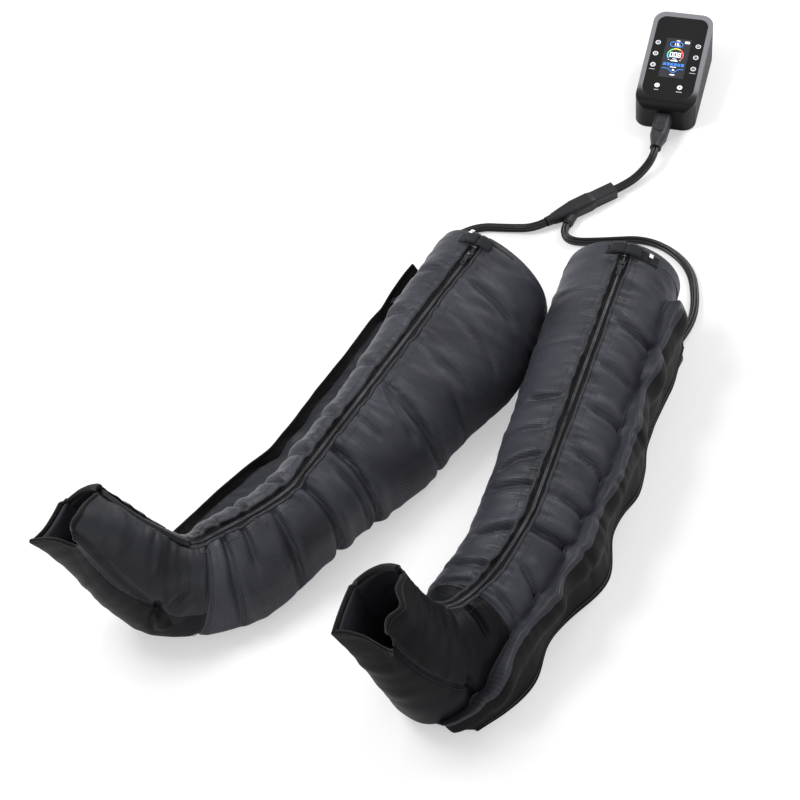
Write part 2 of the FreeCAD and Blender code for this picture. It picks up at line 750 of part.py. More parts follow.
def step_at(stations, i, distance):
    """A distance along the leg at a station, as a share of the step to the next one."""
    j = i + 1 if distance > 0 else i - 1
    return i + distance / (stations[i]["middle"] - stations[j]["middle"]).Length


def layered(outer, inner):
    """The closed solid between two grids of points."""
    triangles = []

    def patch(a, b, c, d):
        for corners in ((a, b, c), (a, c, d)):
            if (corners[1] - corners[0]).cross(corners[2] - corners[0]).Length > 1e-6:
                triangles.append(corners)

    last_row, last = len(outer) - 1, len(outer[0]) - 1
    for i in range(last_row):
        for j in range(last):
            patch(outer[i][j], outer[i][j + 1], outer[i + 1][j + 1], outer[i + 1][j])
            patch(inner[i][j], inner[i + 1][j], inner[i + 1][j + 1], inner[i][j + 1])
        patch(outer[i][0], outer[i + 1][0], inner[i + 1][0], inner[i][0])
        patch(outer[i][last], inner[i][last], inner[i + 1][last], outer[i + 1][last])
    for j in range(last):
        patch(outer[0][j], inner[0][j], inner[0][j + 1], outer[0][j + 1])
        patch(outer[-1][j], outer[-1][j + 1], inner[-1][j + 1], inner[-1][j])
    return solid_of(triangles)


def layer(stations, depth, thickness, slot, low, high):
    outer = [section(station, depth, slot) for station in stations]
    inner = [section(station, depth + thickness, slot) for station in stations]
    return layered(stretch(outer, low, high), stretch(inner, low, high))


def build_sleeve(name, spec):
    stations = sleeve_stations(spec)
    last = len(stations) - 1
    slot = slot_width / 2
    keep(f"{name}_cover", layer(stations, 0, cover_wall, slot, 0, last))
    low, high = step_at(stations, 0, end_margin), step_at(stations, last, -end_margin)
    depth = cover_wall + chamber_gap
    limits = [low]
    for i in chamber_steps:
        limits += [step_at(stations, i, -chamber_spacing / 2), step_at(stations, i, chamber_spacing / 2)]
    limits.append(high)
    for i, label in enumerate(("thigh", "knee", "calf", "foot")):
        chamber = layer(stations, depth, chamber_depth, slot + 1, limits[2 * i], limits[2 * i + 1])
        keep(f"{name}_{label}_chamber", chamber)
    depth += chamber_depth + chamber_gap
    keep(f"{name}_lining", layer(stations, depth, lining_wall, slot + 1, low, high))
    build_zip(name, spec, stations)
    build_strap(name, spec, stations)
    build_pocket(name, spec, stations)


def strip(stations, low, high, top, bottom):
    """A band along the crest: lists of places across it and heights above it."""
    def rows(places):
        return [[crest_point(station, x, z) for x, z in places] for station in stations]

    return layered(stretch(rows(top), low, high), stretch(rows(bottom), low, high))


def build_zip(name, spec, stations):
    half, split = slot_width / 2 - tape_gap, chain_split / 2
    top, low = -tape_drop, -tape_drop - tape_thickness
    edge = split + chain_width
    zip_end, last = len(spec["leg"]) + 1, len(stations) - 1
    pieces = []
    for sign in (-1, 1):
        upper = [(sign * split, top + chain_height), (sign * edge, top + chain_height),
                 (sign * (edge + 0.2), top), (sign * half, top)]
        lower = [(x, low) for x, z in upper]
        pieces.append(strip(stations, 0, zip_end, upper, lower))
    gusset_start = step_at(stations, zip_end, seam_gap)
    ridge, base = [(-half, top), (half, top)], [(-half, low), (half, low)]
    pieces.append(strip(stations, gusset_start, last, ridge, base))
    keep(f"{name}_zip", Part.makeCompound(pieces))
    # the slider: two plates joined by a post between the rows of teeth, with a bail on top
    along = (spec["crest"][1] - spec["crest"][0]).normalize()
    across = stations[0]["across"]
    start = spec["crest"][0] + along * (slider_start + slider_length / 2)

    def place(shape):
        normal = along.cross(across)
        sideways = across
        if normal.z < 0:
            normal, sideways = normal * -1, across * -1
        shape = shape.copy()
        shape.Placement = frame_placement(along, sideways, normal, start)
        return shape

    over = top + chain_height + slider_gap
    under = low - slider_gap - slider_plate
    slider = box(slider_length, slider_width, slider_plate, V(0, 0, 0), over)
    slider = slider.fuse(box(slider_length, slider_width, slider_plate, V(0, 0, 0), under))
    post = box(slider_post, chain_split - 0.4, over - under, V(-slider_length / 4, 0, 0), under)
    slider = slider.fuse(post)
    bail = over + slider_plate + bail_height
    for side in (-1, 1):
        upright = box(bail_wire, bail_wire, bail_height + bail_wire / 2 + slider_plate / 2,
                      V(0, side * bail_span / 2, 0), over + slider_plate / 2)
        slider = slider.fuse(upright)
    slider = slider.fuse(Part.makeCylinder(bail_wire / 2, bail_span, V(0, -bail_span / 2, bail), V(0, 1, 0)))
    keep(f"{name}_zip_slider", place(slider))
    pull = round_bar(eye_radius, pull_neck, V(0, -pull_neck / 2, bail), V(0, 1, 0), rod_sides)
    base = bail - eye_radius
    blade = pull_length - pull_shoulder
    pull = pull.fuse(Part.makeBox(pull_shoulder + 1, pull_neck, pull_thickness, V(0, -pull_neck / 2, base)))
    pull = pull.fuse(Part.makeBox(blade, pull_width, pull_thickness, V(pull_shoulder, -pull_width / 2, base)))
    bore = Part.makeCylinder(bail_wire / 2 + eye_gap, 2 * bail_span, V(0, -bail_span, bail), V(0, 1, 0))
    hole_length, hole_width = pull_hole
    hole = box(hole_length, hole_width, 2 * eye_radius, V(pull_length - hole_length, 0, 0),
               base - pull_thickness / 2)
    pull = pull.cut(bore).cut(hole)
    keep(f"{name}_zip_pull", place(pull))
    hinge = start + along.cross(across).normalize() * (bail if along.cross(across).z > 0 else -bail)
    print(name, "pull hinge", [round(c, 3) for c in hinge], "axis", [round(c, 4) for c in across],
          "along", [round(c, 4) for c in along])


def band(points, thickness):
    """Two sides of a band of even thickness along a flat bent line."""
    left, right = [], []
    for i, (u, v) in enumerate(points):
        headings = []
        for a, b in ((i - 1, i), (i, i + 1)):
            if a >= 0 and b < len(points):
                du, dv = points[b][0] - points[a][0], points[b][1] - points[a][1]
                length = math.hypot(du, dv)
                headings.append((du / length, dv / length))
        first, second = headings[0], headings[-1]
        nu, nv = -(first[1] + second[1]), first[0] + second[0]
        scale = thickness / (nu * nu + nv * nv)
        left.append((u + nu * scale, v + nv * scale))
        right.append((u - nu * scale, v - nv * scale))
    return left, right


def build_strap(name, spec, stations):
    """A long and a short strap at the thigh end, each folded round one bar of a wire ring over the zip."""
    step = (stations[1]["middle"] - stations[0]["middle"]).Length
    middle = strap_lift + strap_thickness / 2
    bar = strap_lift + strap_thickness + strap_slack + ring_wire / 2
    fold = bar + ring_wire / 2 + strap_slack + strap_thickness / 2
    bar_place = ring_depth / 2 - ring_wire / 2
    turn_place = bar_place - ring_wire / 2 - strap_slack - strap_thickness / 2

    def from_crest(station, point):
        away = point - crest_point(station, 0, 0)
        return away.dot(station["across"]), away.z

    def line(station, side, reaches):
        spots = [from_crest(station, ring_point(station, -middle, 90 - side * reach)) for reach in reaches]
        spots.append(from_crest(station, slot_point(station, -middle, side * slot_width / 2)))
        spots += [(side * turn_place, middle), (side * turn_place, fold), (side * slot_width / 2, fold - 0.5)]
        left, right = band(spots, strap_thickness)
        return [[crest_point(station, u, v) for u, v in edge] for edge in (left, right)]

    ends = [strap_start / step, (strap_start + strap_width) / step]
    straps = []
    long_side = spec["strap_side"]
    for side, reaches in ((long_side, (long_strap_reach, strap_reach)), (-long_side, (strap_reach,))):
        lines = [line(station, side, reaches) for station in stations[:2]]
        upper, lower = [[part_way([lines[0][k], lines[1][k]], end) for end in ends] for k in (0, 1)]
        straps.append(layered(upper, lower))
    keep(f"{name}_strap", Part.makeCompound(straps))
    along = (spec["crest"][1] - spec["crest"][0]).normalize()
    across = stations[0]["across"]
    normal = along.cross(across)
    if normal.z < 0:
        normal, across = normal * -1, across * -1
    start = spec["crest"][0] + along * (strap_start + strap_width / 2) + normal * bar
    length = strap_width + 2 * (strap_slack + ring_wire)
    ring = box(length, ring_depth, ring_wire, V(0, 0, 0), -ring_wire / 2)
    ring = ring.makeChamfer(ring_wire, [e for e in ring.Edges if e.BoundBox.ZLength > 1])
    ring = ring.cut(box(length - 2 * ring_wire, ring_depth - 2 * ring_wire, 2 * ring_wire, base=-ring_wire))
    ring.Placement = frame_placement(along, across, normal, start)
    keep(f"{name}_strap_ring", ring)


def frame_placement(first, second, third, origin):
    matrix = FreeCAD.Matrix(first.x, second.x, third.x, origin.x, first.y, second.y, third.y, origin.y,
                            first.z, second.z, third.z, origin.z, 0, 0, 0, 1)
    return FreeCAD.Placement(matrix)


def hem_point(name, y):
    points = pocket_hems[name]
    for before, after in zip(points, points[1:]):
        if before[1] >= y >= after[1]:
            share = (before[1] - y) / (before[1] - after[1])
            return V(*before) * (1 - share) + V(*after) * share
    return V(*(points[0] if y > points[0][1] else points[-1]))


def build_pocket(name, spec, stations):
    """The pocket for the hose: a strip sewn to the outer side, its free edge on the floor."""
    rows = [section(station, 0, slot_width / 2) for station in stations]
    upper, lower = [], []
    last = len(spec["leg"]) + int(spec["pocket_on_foot"])
    for k in range(2 * last + 1):
        position = k / 2
        before, after = rows[int(position)], rows[min(int(position) + k % 2, len(rows) - 1)]
        edge = part_way(rows, position)[steps_to_seam]
        chord = after[steps_to_seam + 1] - after[steps_to_seam]
        away = chord.cross(rows[int(position) + 1][steps_to_seam] - before[steps_to_seam]).normalize()
        if away.dot(stations[int(position)]["across"]) < 0:
            away = away * -1
        top = edge + chord * seam_share + away * pocket_gap
        foot = top + V(chord).normalize() * pocket_seam_width
        hem = hem_point(name, part_way(rows, position)[steps_to_seam + 3].y)
        slope = (hem - top).normalize()
        thick = (UP - slope * slope.z).normalize() * pocket_thickness
        middle = top + (hem - top) * 0.5 + (away + UP).normalize() * pocket_bulge
        upper.append([top, middle, hem + UP * pocket_thickness])
        lower.append([foot, middle - thick, hem])
    keep(f"{name}_hose_pocket", layered(upper, lower))
    build_hose_socket(name, spec["side"], lower)


def sheet_place(rows, y, z):
    """Where the inner face of the pocket is, at a place along the leg and a height."""
    for before, after in zip(rows, rows[1:]):
        if before[1].y >= y >= after[1].y:
            share = (before[1].y - y) / (before[1].y - after[1].y)
            line = [a * (1 - share) + b * share for a, b in zip(before, after)]
            middle, hem = line[1], line[2]
            return middle.x + (hem.x - middle.x) * (middle.z - z) / (middle.z - hem.z)
    return rows[0][2].x


def build_hose_socket(name, side, sheet):
    """The socket where the hose ends, in line with its last run and wedged into the pocket."""
    width, length, height = socket_block
    end = V(*branch_hoses[name][-1])
    along = (end - V(*branch_hoses[name][-2])).normalize()
    across = V(-along.y, along.x, 0) * side
    sections = []
    for distance in (seam_gap, seam_gap + length):
        middle = end + along * distance
        inner = middle - across * width / 2
        outer_y = middle.y + across.y * width / 2
        corners = [V(inner.x, inner.y, 0)]
        for z, level in ((height / 3, 0), (height / 3, height / 3), (height, height)):
            reach = (sheet_place(sheet, outer_y, z) - side * socket_gap - middle.x) / across.x
            corners.append(V(middle.x + across.x * reach, middle.y + across.y * reach, level))
        corners.append(V(inner.x, inner.y, height))
        sections.append(corners)
    keep(f"{name}_hose_socket", through_sections(sections))


def build():
    build_shells()
    build_face()
    build_insides()
    build_outlet()
    build_plug()
    place_pump()
    build_splitter()
    keep("main_hose", route_tube(main_hose_points, hose_diameter / 2))
    for name, points in branch_hoses.items():
        keep(f"{name}_branch_hose", route_tube(points, hose_diameter / 2))
    for name, spec in sleeves.items():
        build_sleeve(name, spec)


build()
os.makedirs("parts", exist_ok=True)
for node, shape in nodes.items():
    shape.exportStep(f"parts/{node}.step")
    state = "valid" if shape.isValid() else "NOT VALID"
    print(node, len(shape.Solids), "solids", round(shape.Volume), "mm3", state)
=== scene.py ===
import bpy
import math
import numpy as np
from mathutils import Matrix, Vector


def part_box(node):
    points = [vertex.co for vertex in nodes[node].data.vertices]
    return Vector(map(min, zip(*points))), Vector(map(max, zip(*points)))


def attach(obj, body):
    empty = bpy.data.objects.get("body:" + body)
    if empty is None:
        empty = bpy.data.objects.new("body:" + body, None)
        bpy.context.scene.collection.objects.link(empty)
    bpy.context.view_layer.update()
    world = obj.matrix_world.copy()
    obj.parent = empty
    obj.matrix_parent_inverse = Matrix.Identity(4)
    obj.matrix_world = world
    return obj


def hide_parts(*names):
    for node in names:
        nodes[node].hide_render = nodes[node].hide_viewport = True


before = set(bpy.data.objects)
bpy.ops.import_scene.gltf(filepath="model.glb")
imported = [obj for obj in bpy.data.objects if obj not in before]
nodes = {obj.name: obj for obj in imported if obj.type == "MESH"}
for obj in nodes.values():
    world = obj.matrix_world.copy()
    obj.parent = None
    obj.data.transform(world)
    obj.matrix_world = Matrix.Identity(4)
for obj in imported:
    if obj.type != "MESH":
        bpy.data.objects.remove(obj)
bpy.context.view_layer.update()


def linear(hexColour):
    # a colour as it is seen on screen, to scene values
    parts = [int(hexColour[i:i + 2], 16) / 255 for i in (0, 2, 4)]
    return tuple(c / 12.92 if c <= 0.04045 else ((c + 0.055) / 1.055) ** 2.4 for c in parts) + (1.0,)


def meshPiece(name, points, faces, smooth=True, uvs=None):
    mesh = bpy.data.meshes.new(name)
    mesh.from_pydata([tuple(p) for p in points], [], [tuple(int(i) for i in f) for f in faces])
    if uvs is not None:
        layer = mesh.uv_layers.new(name="cloth")
        loops = np.array([l.vertex_index for l in mesh.loops])
        layer.data.foreach_set("uv", np.asarray(uvs, float)[loops].ravel())
    mesh.polygons.foreach_set("use_smooth", [smooth] * len(mesh.polygons))
    mesh.validate()
    mesh.update()
    piece = bpy.data.objects.new(name, mesh)
    bpy.context.scene.collection.objects.link(piece)
    return piece


def gridFaces(rows, columns, start=0, closed=False, flip=False):
    last = columns if closed else columns - 1
    faces = []
    for i in range(rows - 1):
        for j in range(last):
            k = (j + 1) % columns
            quad = (start + i * columns + j, start + i * columns + k,
                    start + (i + 1) * columns + k, start + (i + 1) * columns + j)
            faces.append(quad[::-1] if flip else quad)
    return faces


def shellPiece(name, outer, inner, uvs=None):
    # a closed sheet between two grids of points
    rows, columns = outer.shape[:2]
    count = rows * columns
    faces = gridFaces(rows, columns) + gridFaces(rows, columns, count, flip=True)
    for j in range(columns - 1):
        a = (rows - 1) * columns + j
        faces += [(j + 1, j, count + j, count + j + 1), (a, a + 1, count + a + 1, count + a)]
    for a in range(0, count - columns, columns):
        b, c = a + columns, a + columns - 1
        faces += [(a, b, count + b, count + a), (c + columns, c, count + c, count + c + columns)]
    points = np.concatenate([outer.reshape(-1, 3), inner.reshape(-1, 3)])
    if uvs is not None:
        uvs = np.concatenate([uvs.reshape(-1, 2), uvs.reshape(-1, 2)])
    return meshPiece(name, points, faces, True, uvs)


def unit(rows):
    return rows / np.linalg.norm(rows, axis=-1, keepdims=True)


def clamped(x):
    return np.clip(x, 0, 1)  # a share, between none and all


def bell(x, width):
    return np.exp(-(x / width) ** 2)


def lifted(points, height):
    # no point lies lower than this
    points[..., 2] = np.maximum(points[..., 2], height)
    return points


def runLength(path):
    # how far along a path each of its points lies
    return np.concatenate([[0], np.cumsum(np.linalg.norm(np.diff(path, axis=0), axis=1))])


def gridNormal(points):
    # the directions square to a grid of points
    normal = np.cross(np.gradient(points, axis=0), np.gradient(points, axis=1))
    return normal / (np.linalg.norm(normal, axis=-1, keepdims=True) + 1e-12)


def tubeGrid(path, radius, sides):
    # rings round a path, each turned as little as possible from the one before
    path = np.asarray(path, float)
    tangents = unit(np.gradient(path, axis=0))
    side = np.cross(tangents[0], (0, 0, 1))
    if np.linalg.norm(side) < 1e-3:
        side = np.cross(tangents[0], (0, 1, 0))
    angles = np.linspace(0, 2 * math.pi, sides, endpoint=False)[:, None]
    rings, frames = [], []
    for point, tangent in zip(path, tangents):
        side = unit(side - tangent * (side @ tangent))
        other = np.cross(tangent, side)
        rings.append(point + radius * (np.cos(angles) * side + np.sin(angles) * other))
        frames.append((side, other))
    return np.array(rings), frames


def ringPoints(rings):
    return list(rings.reshape(-1, 3)) + [rings[0].mean(0), rings[-1].mean(0)]


def ringFaces(rows, sides, start=0):
    # the wall and the end caps of a tube whose last two points are the middles of its ends
    faces = gridFaces(rows, sides, start, True)
    caps = start + rows * sides
    end = caps - sides
    for j in range(sides):
        k = (j + 1) % sides
        faces += [(start + k, start + j, caps), (end + j, end + k, caps + 1)]
    return faces


def tubePiece(name, paths, radius, sides=10):
    # closed-ended tubes along one or more paths
    points, faces = [], []
    for path in paths:
        faces += ringFaces(len(path), sides, len(points))
        points += ringPoints(tubeGrid(path, radius, sides)[0])
    return meshPiece(name, points, faces)


def smoothPath(points, count):
    # a smooth line through a few points
    knots = runLength(points)
    return along(points, knots, np.linspace(0, knots[-1], count))


def along(values, knots, places):
    # cubic interpolation of rows of values
    values = np.asarray(values, float)
    flat = values.reshape(len(values), -1)
    slopes = np.zeros_like(flat)
    widths = np.diff(knots)
    rates = np.diff(flat, axis=0) / widths[:, None]
    slopes[0], slopes[-1] = rates[0], rates[-1]
    for i in range(1, len(knots) - 1):
        slopes[i] = (rates[i - 1] * widths[i] + rates[i] * widths[i - 1]) / (widths[i] + widths[i - 1])
    places = np.clip(places, knots[0], knots[-1])
    index = np.clip(np.searchsorted(knots, places, "right") - 1, 0, len(widths) - 1)
    t = ((places - knots[index]) / widths[index])[:, None]
    w = widths[index][:, None]
    a, b, ma, mb = flat[index], flat[index + 1], slopes[index] * w, slopes[index + 1] * w
    made = ((2 * t ** 3 - 3 * t ** 2 + 1) * a + (t ** 3 - 2 * t ** 2 + t) * ma
            + (-2 * t ** 3 + 3 * t ** 2) * b + (t ** 3 - t ** 2) * mb)
    return made.reshape((len(places),) + values.shape[1:])


def useMaterial(piece, material):
    piece.data.materials.clear()
    piece.data.materials.append(material)
    return piece


def onSleeve(piece, material, standsFor=None):
    # a piece of the sleeves, in place of a CAD node where one is named
    useMaterial(piece, material)
    if standsFor:
        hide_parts(standsFor)
    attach(piece, "sleeves")
    return piece


def paintNode(name, material):
    piece = nodes[name]
    if not piece.material_slots:
        piece.data.materials.append(material)
    for entry in piece.material_slots:
        entry.material = material


shaderInputs = {"metallic": "Metallic", "coat": "Coat Weight", "sheen": "Sheen Weight",
                "gloss": "Specular IOR Level"}


def newMaterial(name, colour, roughness, **others):
    material = bpy.data.materials.new(name)
    material.use_nodes = True
    shader = material.node_tree.nodes["Principled BSDF"]
    values = {"Base Color": linear(colour), "Roughness": roughness,
              "Coat Roughness": 0.05, "Sheen Roughness": 0.4}
    values.update({shaderInputs[key]: value for key, value in others.items()})
    for key, value in values.items():
        shader.inputs[key].default_value = value
    return material, material.node_tree, shader


def addNode(tree, kind, inputs=None, **settings):
    # a shader node; each input is a value or the socket that feeds it
    made = tree.nodes.new("ShaderNode" + kind)
    for key, value in settings.items():
        setattr(made, key, value)
    for key, value in (inputs or {}).items():
        if isinstance(value, bpy.types.NodeSocket):
            tree.links.new(value, made.inputs[key])
        else:
            made.inputs[key].default_value = value
    return made


def maths(tree, operation, *values):
    return addNode(tree, "Math", dict(enumerate(values)), operation=operation).outputs[0]


def addNoise(tree, place, scale, detail=2):
    return addNode(tree, "TexNoise", {"Vector": place, "Scale": scale, "Detail": detail}).outputs["Fac"]


def addRamp(tree, shader, share, first, last, *between):
    # colours along a share, as the shader's base colour
    ramp = addNode(tree, "ValToRGB", {"Fac": share})
    marks = ramp.color_ramp.elements
    for mark, (position, colour) in zip(marks, (first, last)):
        mark.position, mark.color = position, linear(colour)
    for position, colour in between:
        marks.new(position).color = linear(colour)
    tree.links.new(ramp.outputs["Color"], shader.inputs["Base Color"])


def addBump(tree, shader, height, strength, distance):
    bump = addNode(tree, "Bump", {"Height": height, "Strength": strength, "Distance": distance})
    tree.links.new(bump.outputs["Normal"], shader.inputs["Normal"])


plasticLook = {"drift": 18, "grain": 2600, "depth": 0.0004}
metalLook = {"scratch": 900, "depth": 0.0003}
ripstop = {"threadPitch": 0.0013, "gridPitch": 0.0042, "gridSharpness": 7, "threadShare": 0.2, "drift": 9,
           "driftShare": 0.8, "roughSpread": 0.08, "tint": "7c7e8a", "depth": 0.0006}
webLook = {"roughness": 0.75, "sheen": 0.2, "gloss": 0.12, "threads": 0.8, "contrast": 0.4, "depth": 0.0005}


def plastic(name, dark, light, roughness, grain, coat=0.0, gloss=0.35):
    # a slow drift of colour under a fine grain
    material, tree, shader = newMaterial(name, dark, roughness, coat=coat, gloss=gloss)
    place = addNode(tree, "TexCoord").outputs["Object"]
    addRamp(tree, shader, addNoise(tree, place, plasticLook["drift"], 4), (0.3, dark), (0.7, light))
    addBump(tree, shader, addNoise(tree, place, plasticLook["grain"]), grain, plasticLook["depth"])
    return material


def metal(name, colour, roughness, scratch):
    # a plain colour with fine scratches
    material, tree, shader = newMaterial(name, colour, roughness, metallic=1.0)
    place = addNode(tree, "TexCoord").outputs["Object"]
    addBump(tree, shader, addNoise(tree, place, metalLook["scratch"], 6), scratch, metalLook["depth"])
    return material


def clothPlace(tree):
    # the cloth's own coordinates in metres: both together, along and across
    place = addNode(tree, "UVMap", uv_map="cloth").outputs["UV"]
    split = addNode(tree, "SeparateXYZ", {0: place})
    return place, split.outputs["X"], split.outputs["Y"]


def waveOn(tree, operation, axis, rate):
    return maths(tree, operation, maths(tree, "MULTIPLY", axis, rate))


def ripstopCloth(name, dark, light, roughness, sheen, relief=0.35, share=0.3, gloss=0.25):
    # a fine plain weave with thicker threads in a small grid
    material, tree, shader = newMaterial(name, light, roughness, sheen=sheen, gloss=gloss)
    shader.inputs["Sheen Tint"].default_value = linear(ripstop["tint"])
    place, *axes = clothPlace(tree)
    heights = []
    for axis in axes:
        threads = waveOn(tree, "SINE", axis, 2 * math.pi / ripstop["threadPitch"])
        grid = maths(tree, "ABSOLUTE", waveOn(tree, "COSINE", axis, math.pi / ripstop["gridPitch"]))
        heights.append(maths(tree, "ADD", maths(tree, "MULTIPLY", threads, ripstop["threadShare"]),
                             maths(tree, "POWER", grid, ripstop["gridSharpness"])))
    weave = maths(tree, "MAXIMUM", *heights)
    drift = maths(tree, "MULTIPLY", addNoise(tree, place, ripstop["drift"], 5), ripstop["driftShare"])
    shade = maths(tree, "ADD", maths(tree, "MULTIPLY", weave, share), drift)
    addRamp(tree, shader, shade, (0.25, dark), (0.8, light))
    rough = addNode(tree, "MapRange", {"Value": weave, "To Min": roughness + ripstop["roughSpread"],
                                       "To Max": roughness - ripstop["roughSpread"]})
    tree.links.new(rough.outputs["Result"], shader.inputs["Roughness"])
    addBump(tree, shader, weave, relief, ripstop["depth"])
    return material


def webbing(name, dark, light, pitch):
    # tape with ribs across its length
    look = webLook
    material, tree, shader = newMaterial(name, light, look["roughness"], sheen=look["sheen"],
                                         gloss=look["gloss"])
    _, lengthwise, crosswise = clothPlace(tree)
    weave = maths(tree, "MULTIPLY", waveOn(tree, "SINE", lengthwise, 2 * math.pi / pitch),
                  waveOn(tree, "SINE", crosswise, 2 * math.pi / (pitch * look["threads"])))
    shade = maths(tree, "ADD", maths(tree, "MULTIPLY", weave, look["contrast"]), 0.5)
    addRamp(tree, shader, shade, (0, dark), (1, light))
    addBump(tree, shader, weave, 0.5, look["depth"])
    return material


legCloth = ripstopCloth("leg cloth", "1a1b20", "3c3d45", 0.45, 0.15, 0.4, 0.32)
# painted shade: the right pocket's cloth is a darker copy of the leg cloth, for the shade it lies in beside
# the leg
shadedPocketCloth = ripstopCloth("pocket cloth in painted shade", "16171b", "323339", 0.5, 0.14)
liningCloth = ripstopCloth("lining cloth", "1d1e23", "33343b", 0.55, 0.10, 0.15, 0.15)
footCloth = ripstopCloth("foot cloth", "090a0c", "131418", 0.5, 0.03, 0.06, 0.08, 0.12)
# painted light: a lighter copy of the foot cloth for the right foot's upper, where it faces the light
litFootCloth = ripstopCloth("foot cloth in painted light", "14151a", "292a32", 0.46, 0.10, 0.1, 0.15)
# painted shade: a near-black copy of the leg cloth for the outer side of the left pocket's wall, which stands
# in shade
shadedWallCloth = ripstopCloth("pocket wall cloth in painted shade", "060607", "0e0f11", 0.6, 0.03, 0.0, 0.05, 0.12)
chamberCloth = ripstopCloth("chamber cloth", "303136", "3c3d42", 0.6, 0.1, 0.2)
weltCloth = ripstopCloth("welt cloth", "17181c", "2b2c31", 0.55, 0.16, 0.2)
binding = webbing("black binding", "040405", "0e0f11", 0.0016)
zipTape = webbing("zip tape", "060607", "141518", 0.0011)
strapWeb = webbing("strap webbing", "121316", "2b2c31", 0.0021)
tagWhite = plastic("label white", "d8d8da", "ececee", 0.7, 0.2)
thread = plastic("sewing thread", "2a2b2f", "414247", 0.6, 0.1)
coilNylon = plastic("zip coil", "1c1d20", "5a5b60", 0.25, 0.1)
hoseRubber = plastic("hose rubber", "0d0e10", "17181b", 0.34, 0.12)
graphite = plastic("graphite plastic", "1f2023", "2b2c30", 0.42, 0.35)
graphiteDark = plastic("dark graphite plastic", "131416", "1e1f22", 0.42, 0.3)
blackShell = plastic("black shell", "040506", "0a0b0c", 0.42, 0.06, gloss=0.1)
panelBlack = plastic("panel gloss", "030304", "070709", 0.09, 0.0, coat=0.3)
screenGrey = plastic("screen glass", "25272c", "2c2f35", 0.16, 0.0, coat=0.5)
softRubber = plastic("foot rubber", "101012", "1a1a1c", 0.8, 0.4)
keyWhite = plastic("key white", "e4e6ea", "f4f5f7", 0.35, 0.05)
keyBlack = plastic("key gloss", "0b0b0d", "131316", 0.25, 0.0, coat=0.2)
keyInk = plastic("key print", "14171c", "1c2026", 0.5, 0.05)
panelInk = plastic("panel print", "b9bcc2", "cfd1d6", 0.5, 0.05)
innerPlastic = plastic("inner plastic", "3a3b3e", "4a4b4f", 0.55, 0.2)
ringChrome = metal("ring metal", "b8bac0", 0.22, 0.08)
sliderMetal = metal("slider metal", "4b4c50", 0.35, 0.12)
print("materials made")


cameraView = {"place": (1.2332, -2.1662, 3.0574), "azimuth": 33.974, "elevation": 52.394,
              "roll": -8.923, "lens": 89.8}


def addCamera():
    a, e, q = (math.radians(cameraView[k]) for k in ("azimuth", "elevation", "roll"))
    back = Vector((math.sin(a) * math.cos(e), -math.cos(a) * math.cos(e), math.sin(e)))
    level = Vector((math.cos(a), math.sin(a), 0))
    steep = back.cross(level)
    right = level * math.cos(q) + steep * math.sin(q)
    top = steep * math.cos(q) - level * math.sin(q)
    data = bpy.data.cameras.new("camera")
    data.lens = cameraView["lens"]
    data.sensor_width = 36
    data.clip_start, data.clip_end = 0.1, 50
    camera = bpy.data.objects.new("camera", data)
    turn = Matrix((right, top, back)).transposed().to_4x4()
    camera.matrix_world = Matrix.Translation(cameraView["place"]) @ turn
    bpy.context.scene.collection.objects.link(camera)
    bpy.context.scene.camera = camera


def mixSeen(tree, share, first, second, output):
    # two ways to show a surface: the second one is for what the camera sees
    seen = addNode(tree, "LightPath").outputs["Is Camera Ray"]
    mix = addNode(tree, "MixShader", {0: maths(tree, "MULTIPLY", seen, share), 1: first, 2: second})
    tree.links.new(mix.outputs["Shader"], tree.nodes[output].inputs["Surface"])


floorLook = {"half": 6, "colour": "f6f6f7", "roughness": 0.9, "glow": 0.45}


def addFloor():
    # a pale floor, lifted towards white where the camera sees it
    half = floorLook["half"]
    floor = meshPiece("floor", [(-half, -half, 0), (half, -half, 0), (half, half, 0), (-half, half, 0)],
                      [(0, 1, 2, 3)], False)
    material, tree, shader = newMaterial("pale floor", floorLook["colour"], floorLook["roughness"], gloss=0.0)
    glow = addNode(tree, "Emission", {"Strength": 1.0})
    mixSeen(tree, floorLook["glow"], shader.outputs["BSDF"], glow.outputs["Emission"], "Material Output")
    useMaterial(floor, material)


lampSet = {
    "key": {"place": (-1.5, -0.5, 2.4), "size": 1.1, "power": 62},
    "fill": {"place": (2.4, -1.6, 2.2), "size": 1.6, "power": 16},
    "back": {"place": (0.7, 2.4, 1.9), "size": 1.4, "power": 46},
}
lampTarget = Vector((0.1, -0.1, 0.1))
worldStrength = 0.55


def addLight():
    world = bpy.data.worlds.new("studio")
    bpy.context.scene.world = world
    world.use_nodes = True
    tree = world.node_tree
    soft = tree.nodes["Background"]
    soft.inputs["Color"].default_value = (1, 1, 1, 1)
    soft.inputs["Strength"].default_value = worldStrength
    white = addNode(tree, "Background", {"Strength": 1.0})
    mixSeen(tree, 1.0, soft.outputs["Background"], white.outputs["Background"], "World Output")
    for name, lamp in lampSet.items():
        data = bpy.data.lights.new(name, "AREA")
        data.size, data.energy = lamp["size"], lamp["power"]
        light = bpy.data.objects.new(name, data)
        place = Vector(lamp["place"])
        turn = (place - lampTarget).to_track_quat("Z", "Y").to_matrix().to_4x4()
        light.matrix_world = Matrix.Translation(place) @ turn
        bpy.context.scene.collection.objects.link(light)


bpy.context.scene.view_settings.view_transform = "Standard"
addCamera()
addFloor()
addLight()
print("camera, floor and light ready")


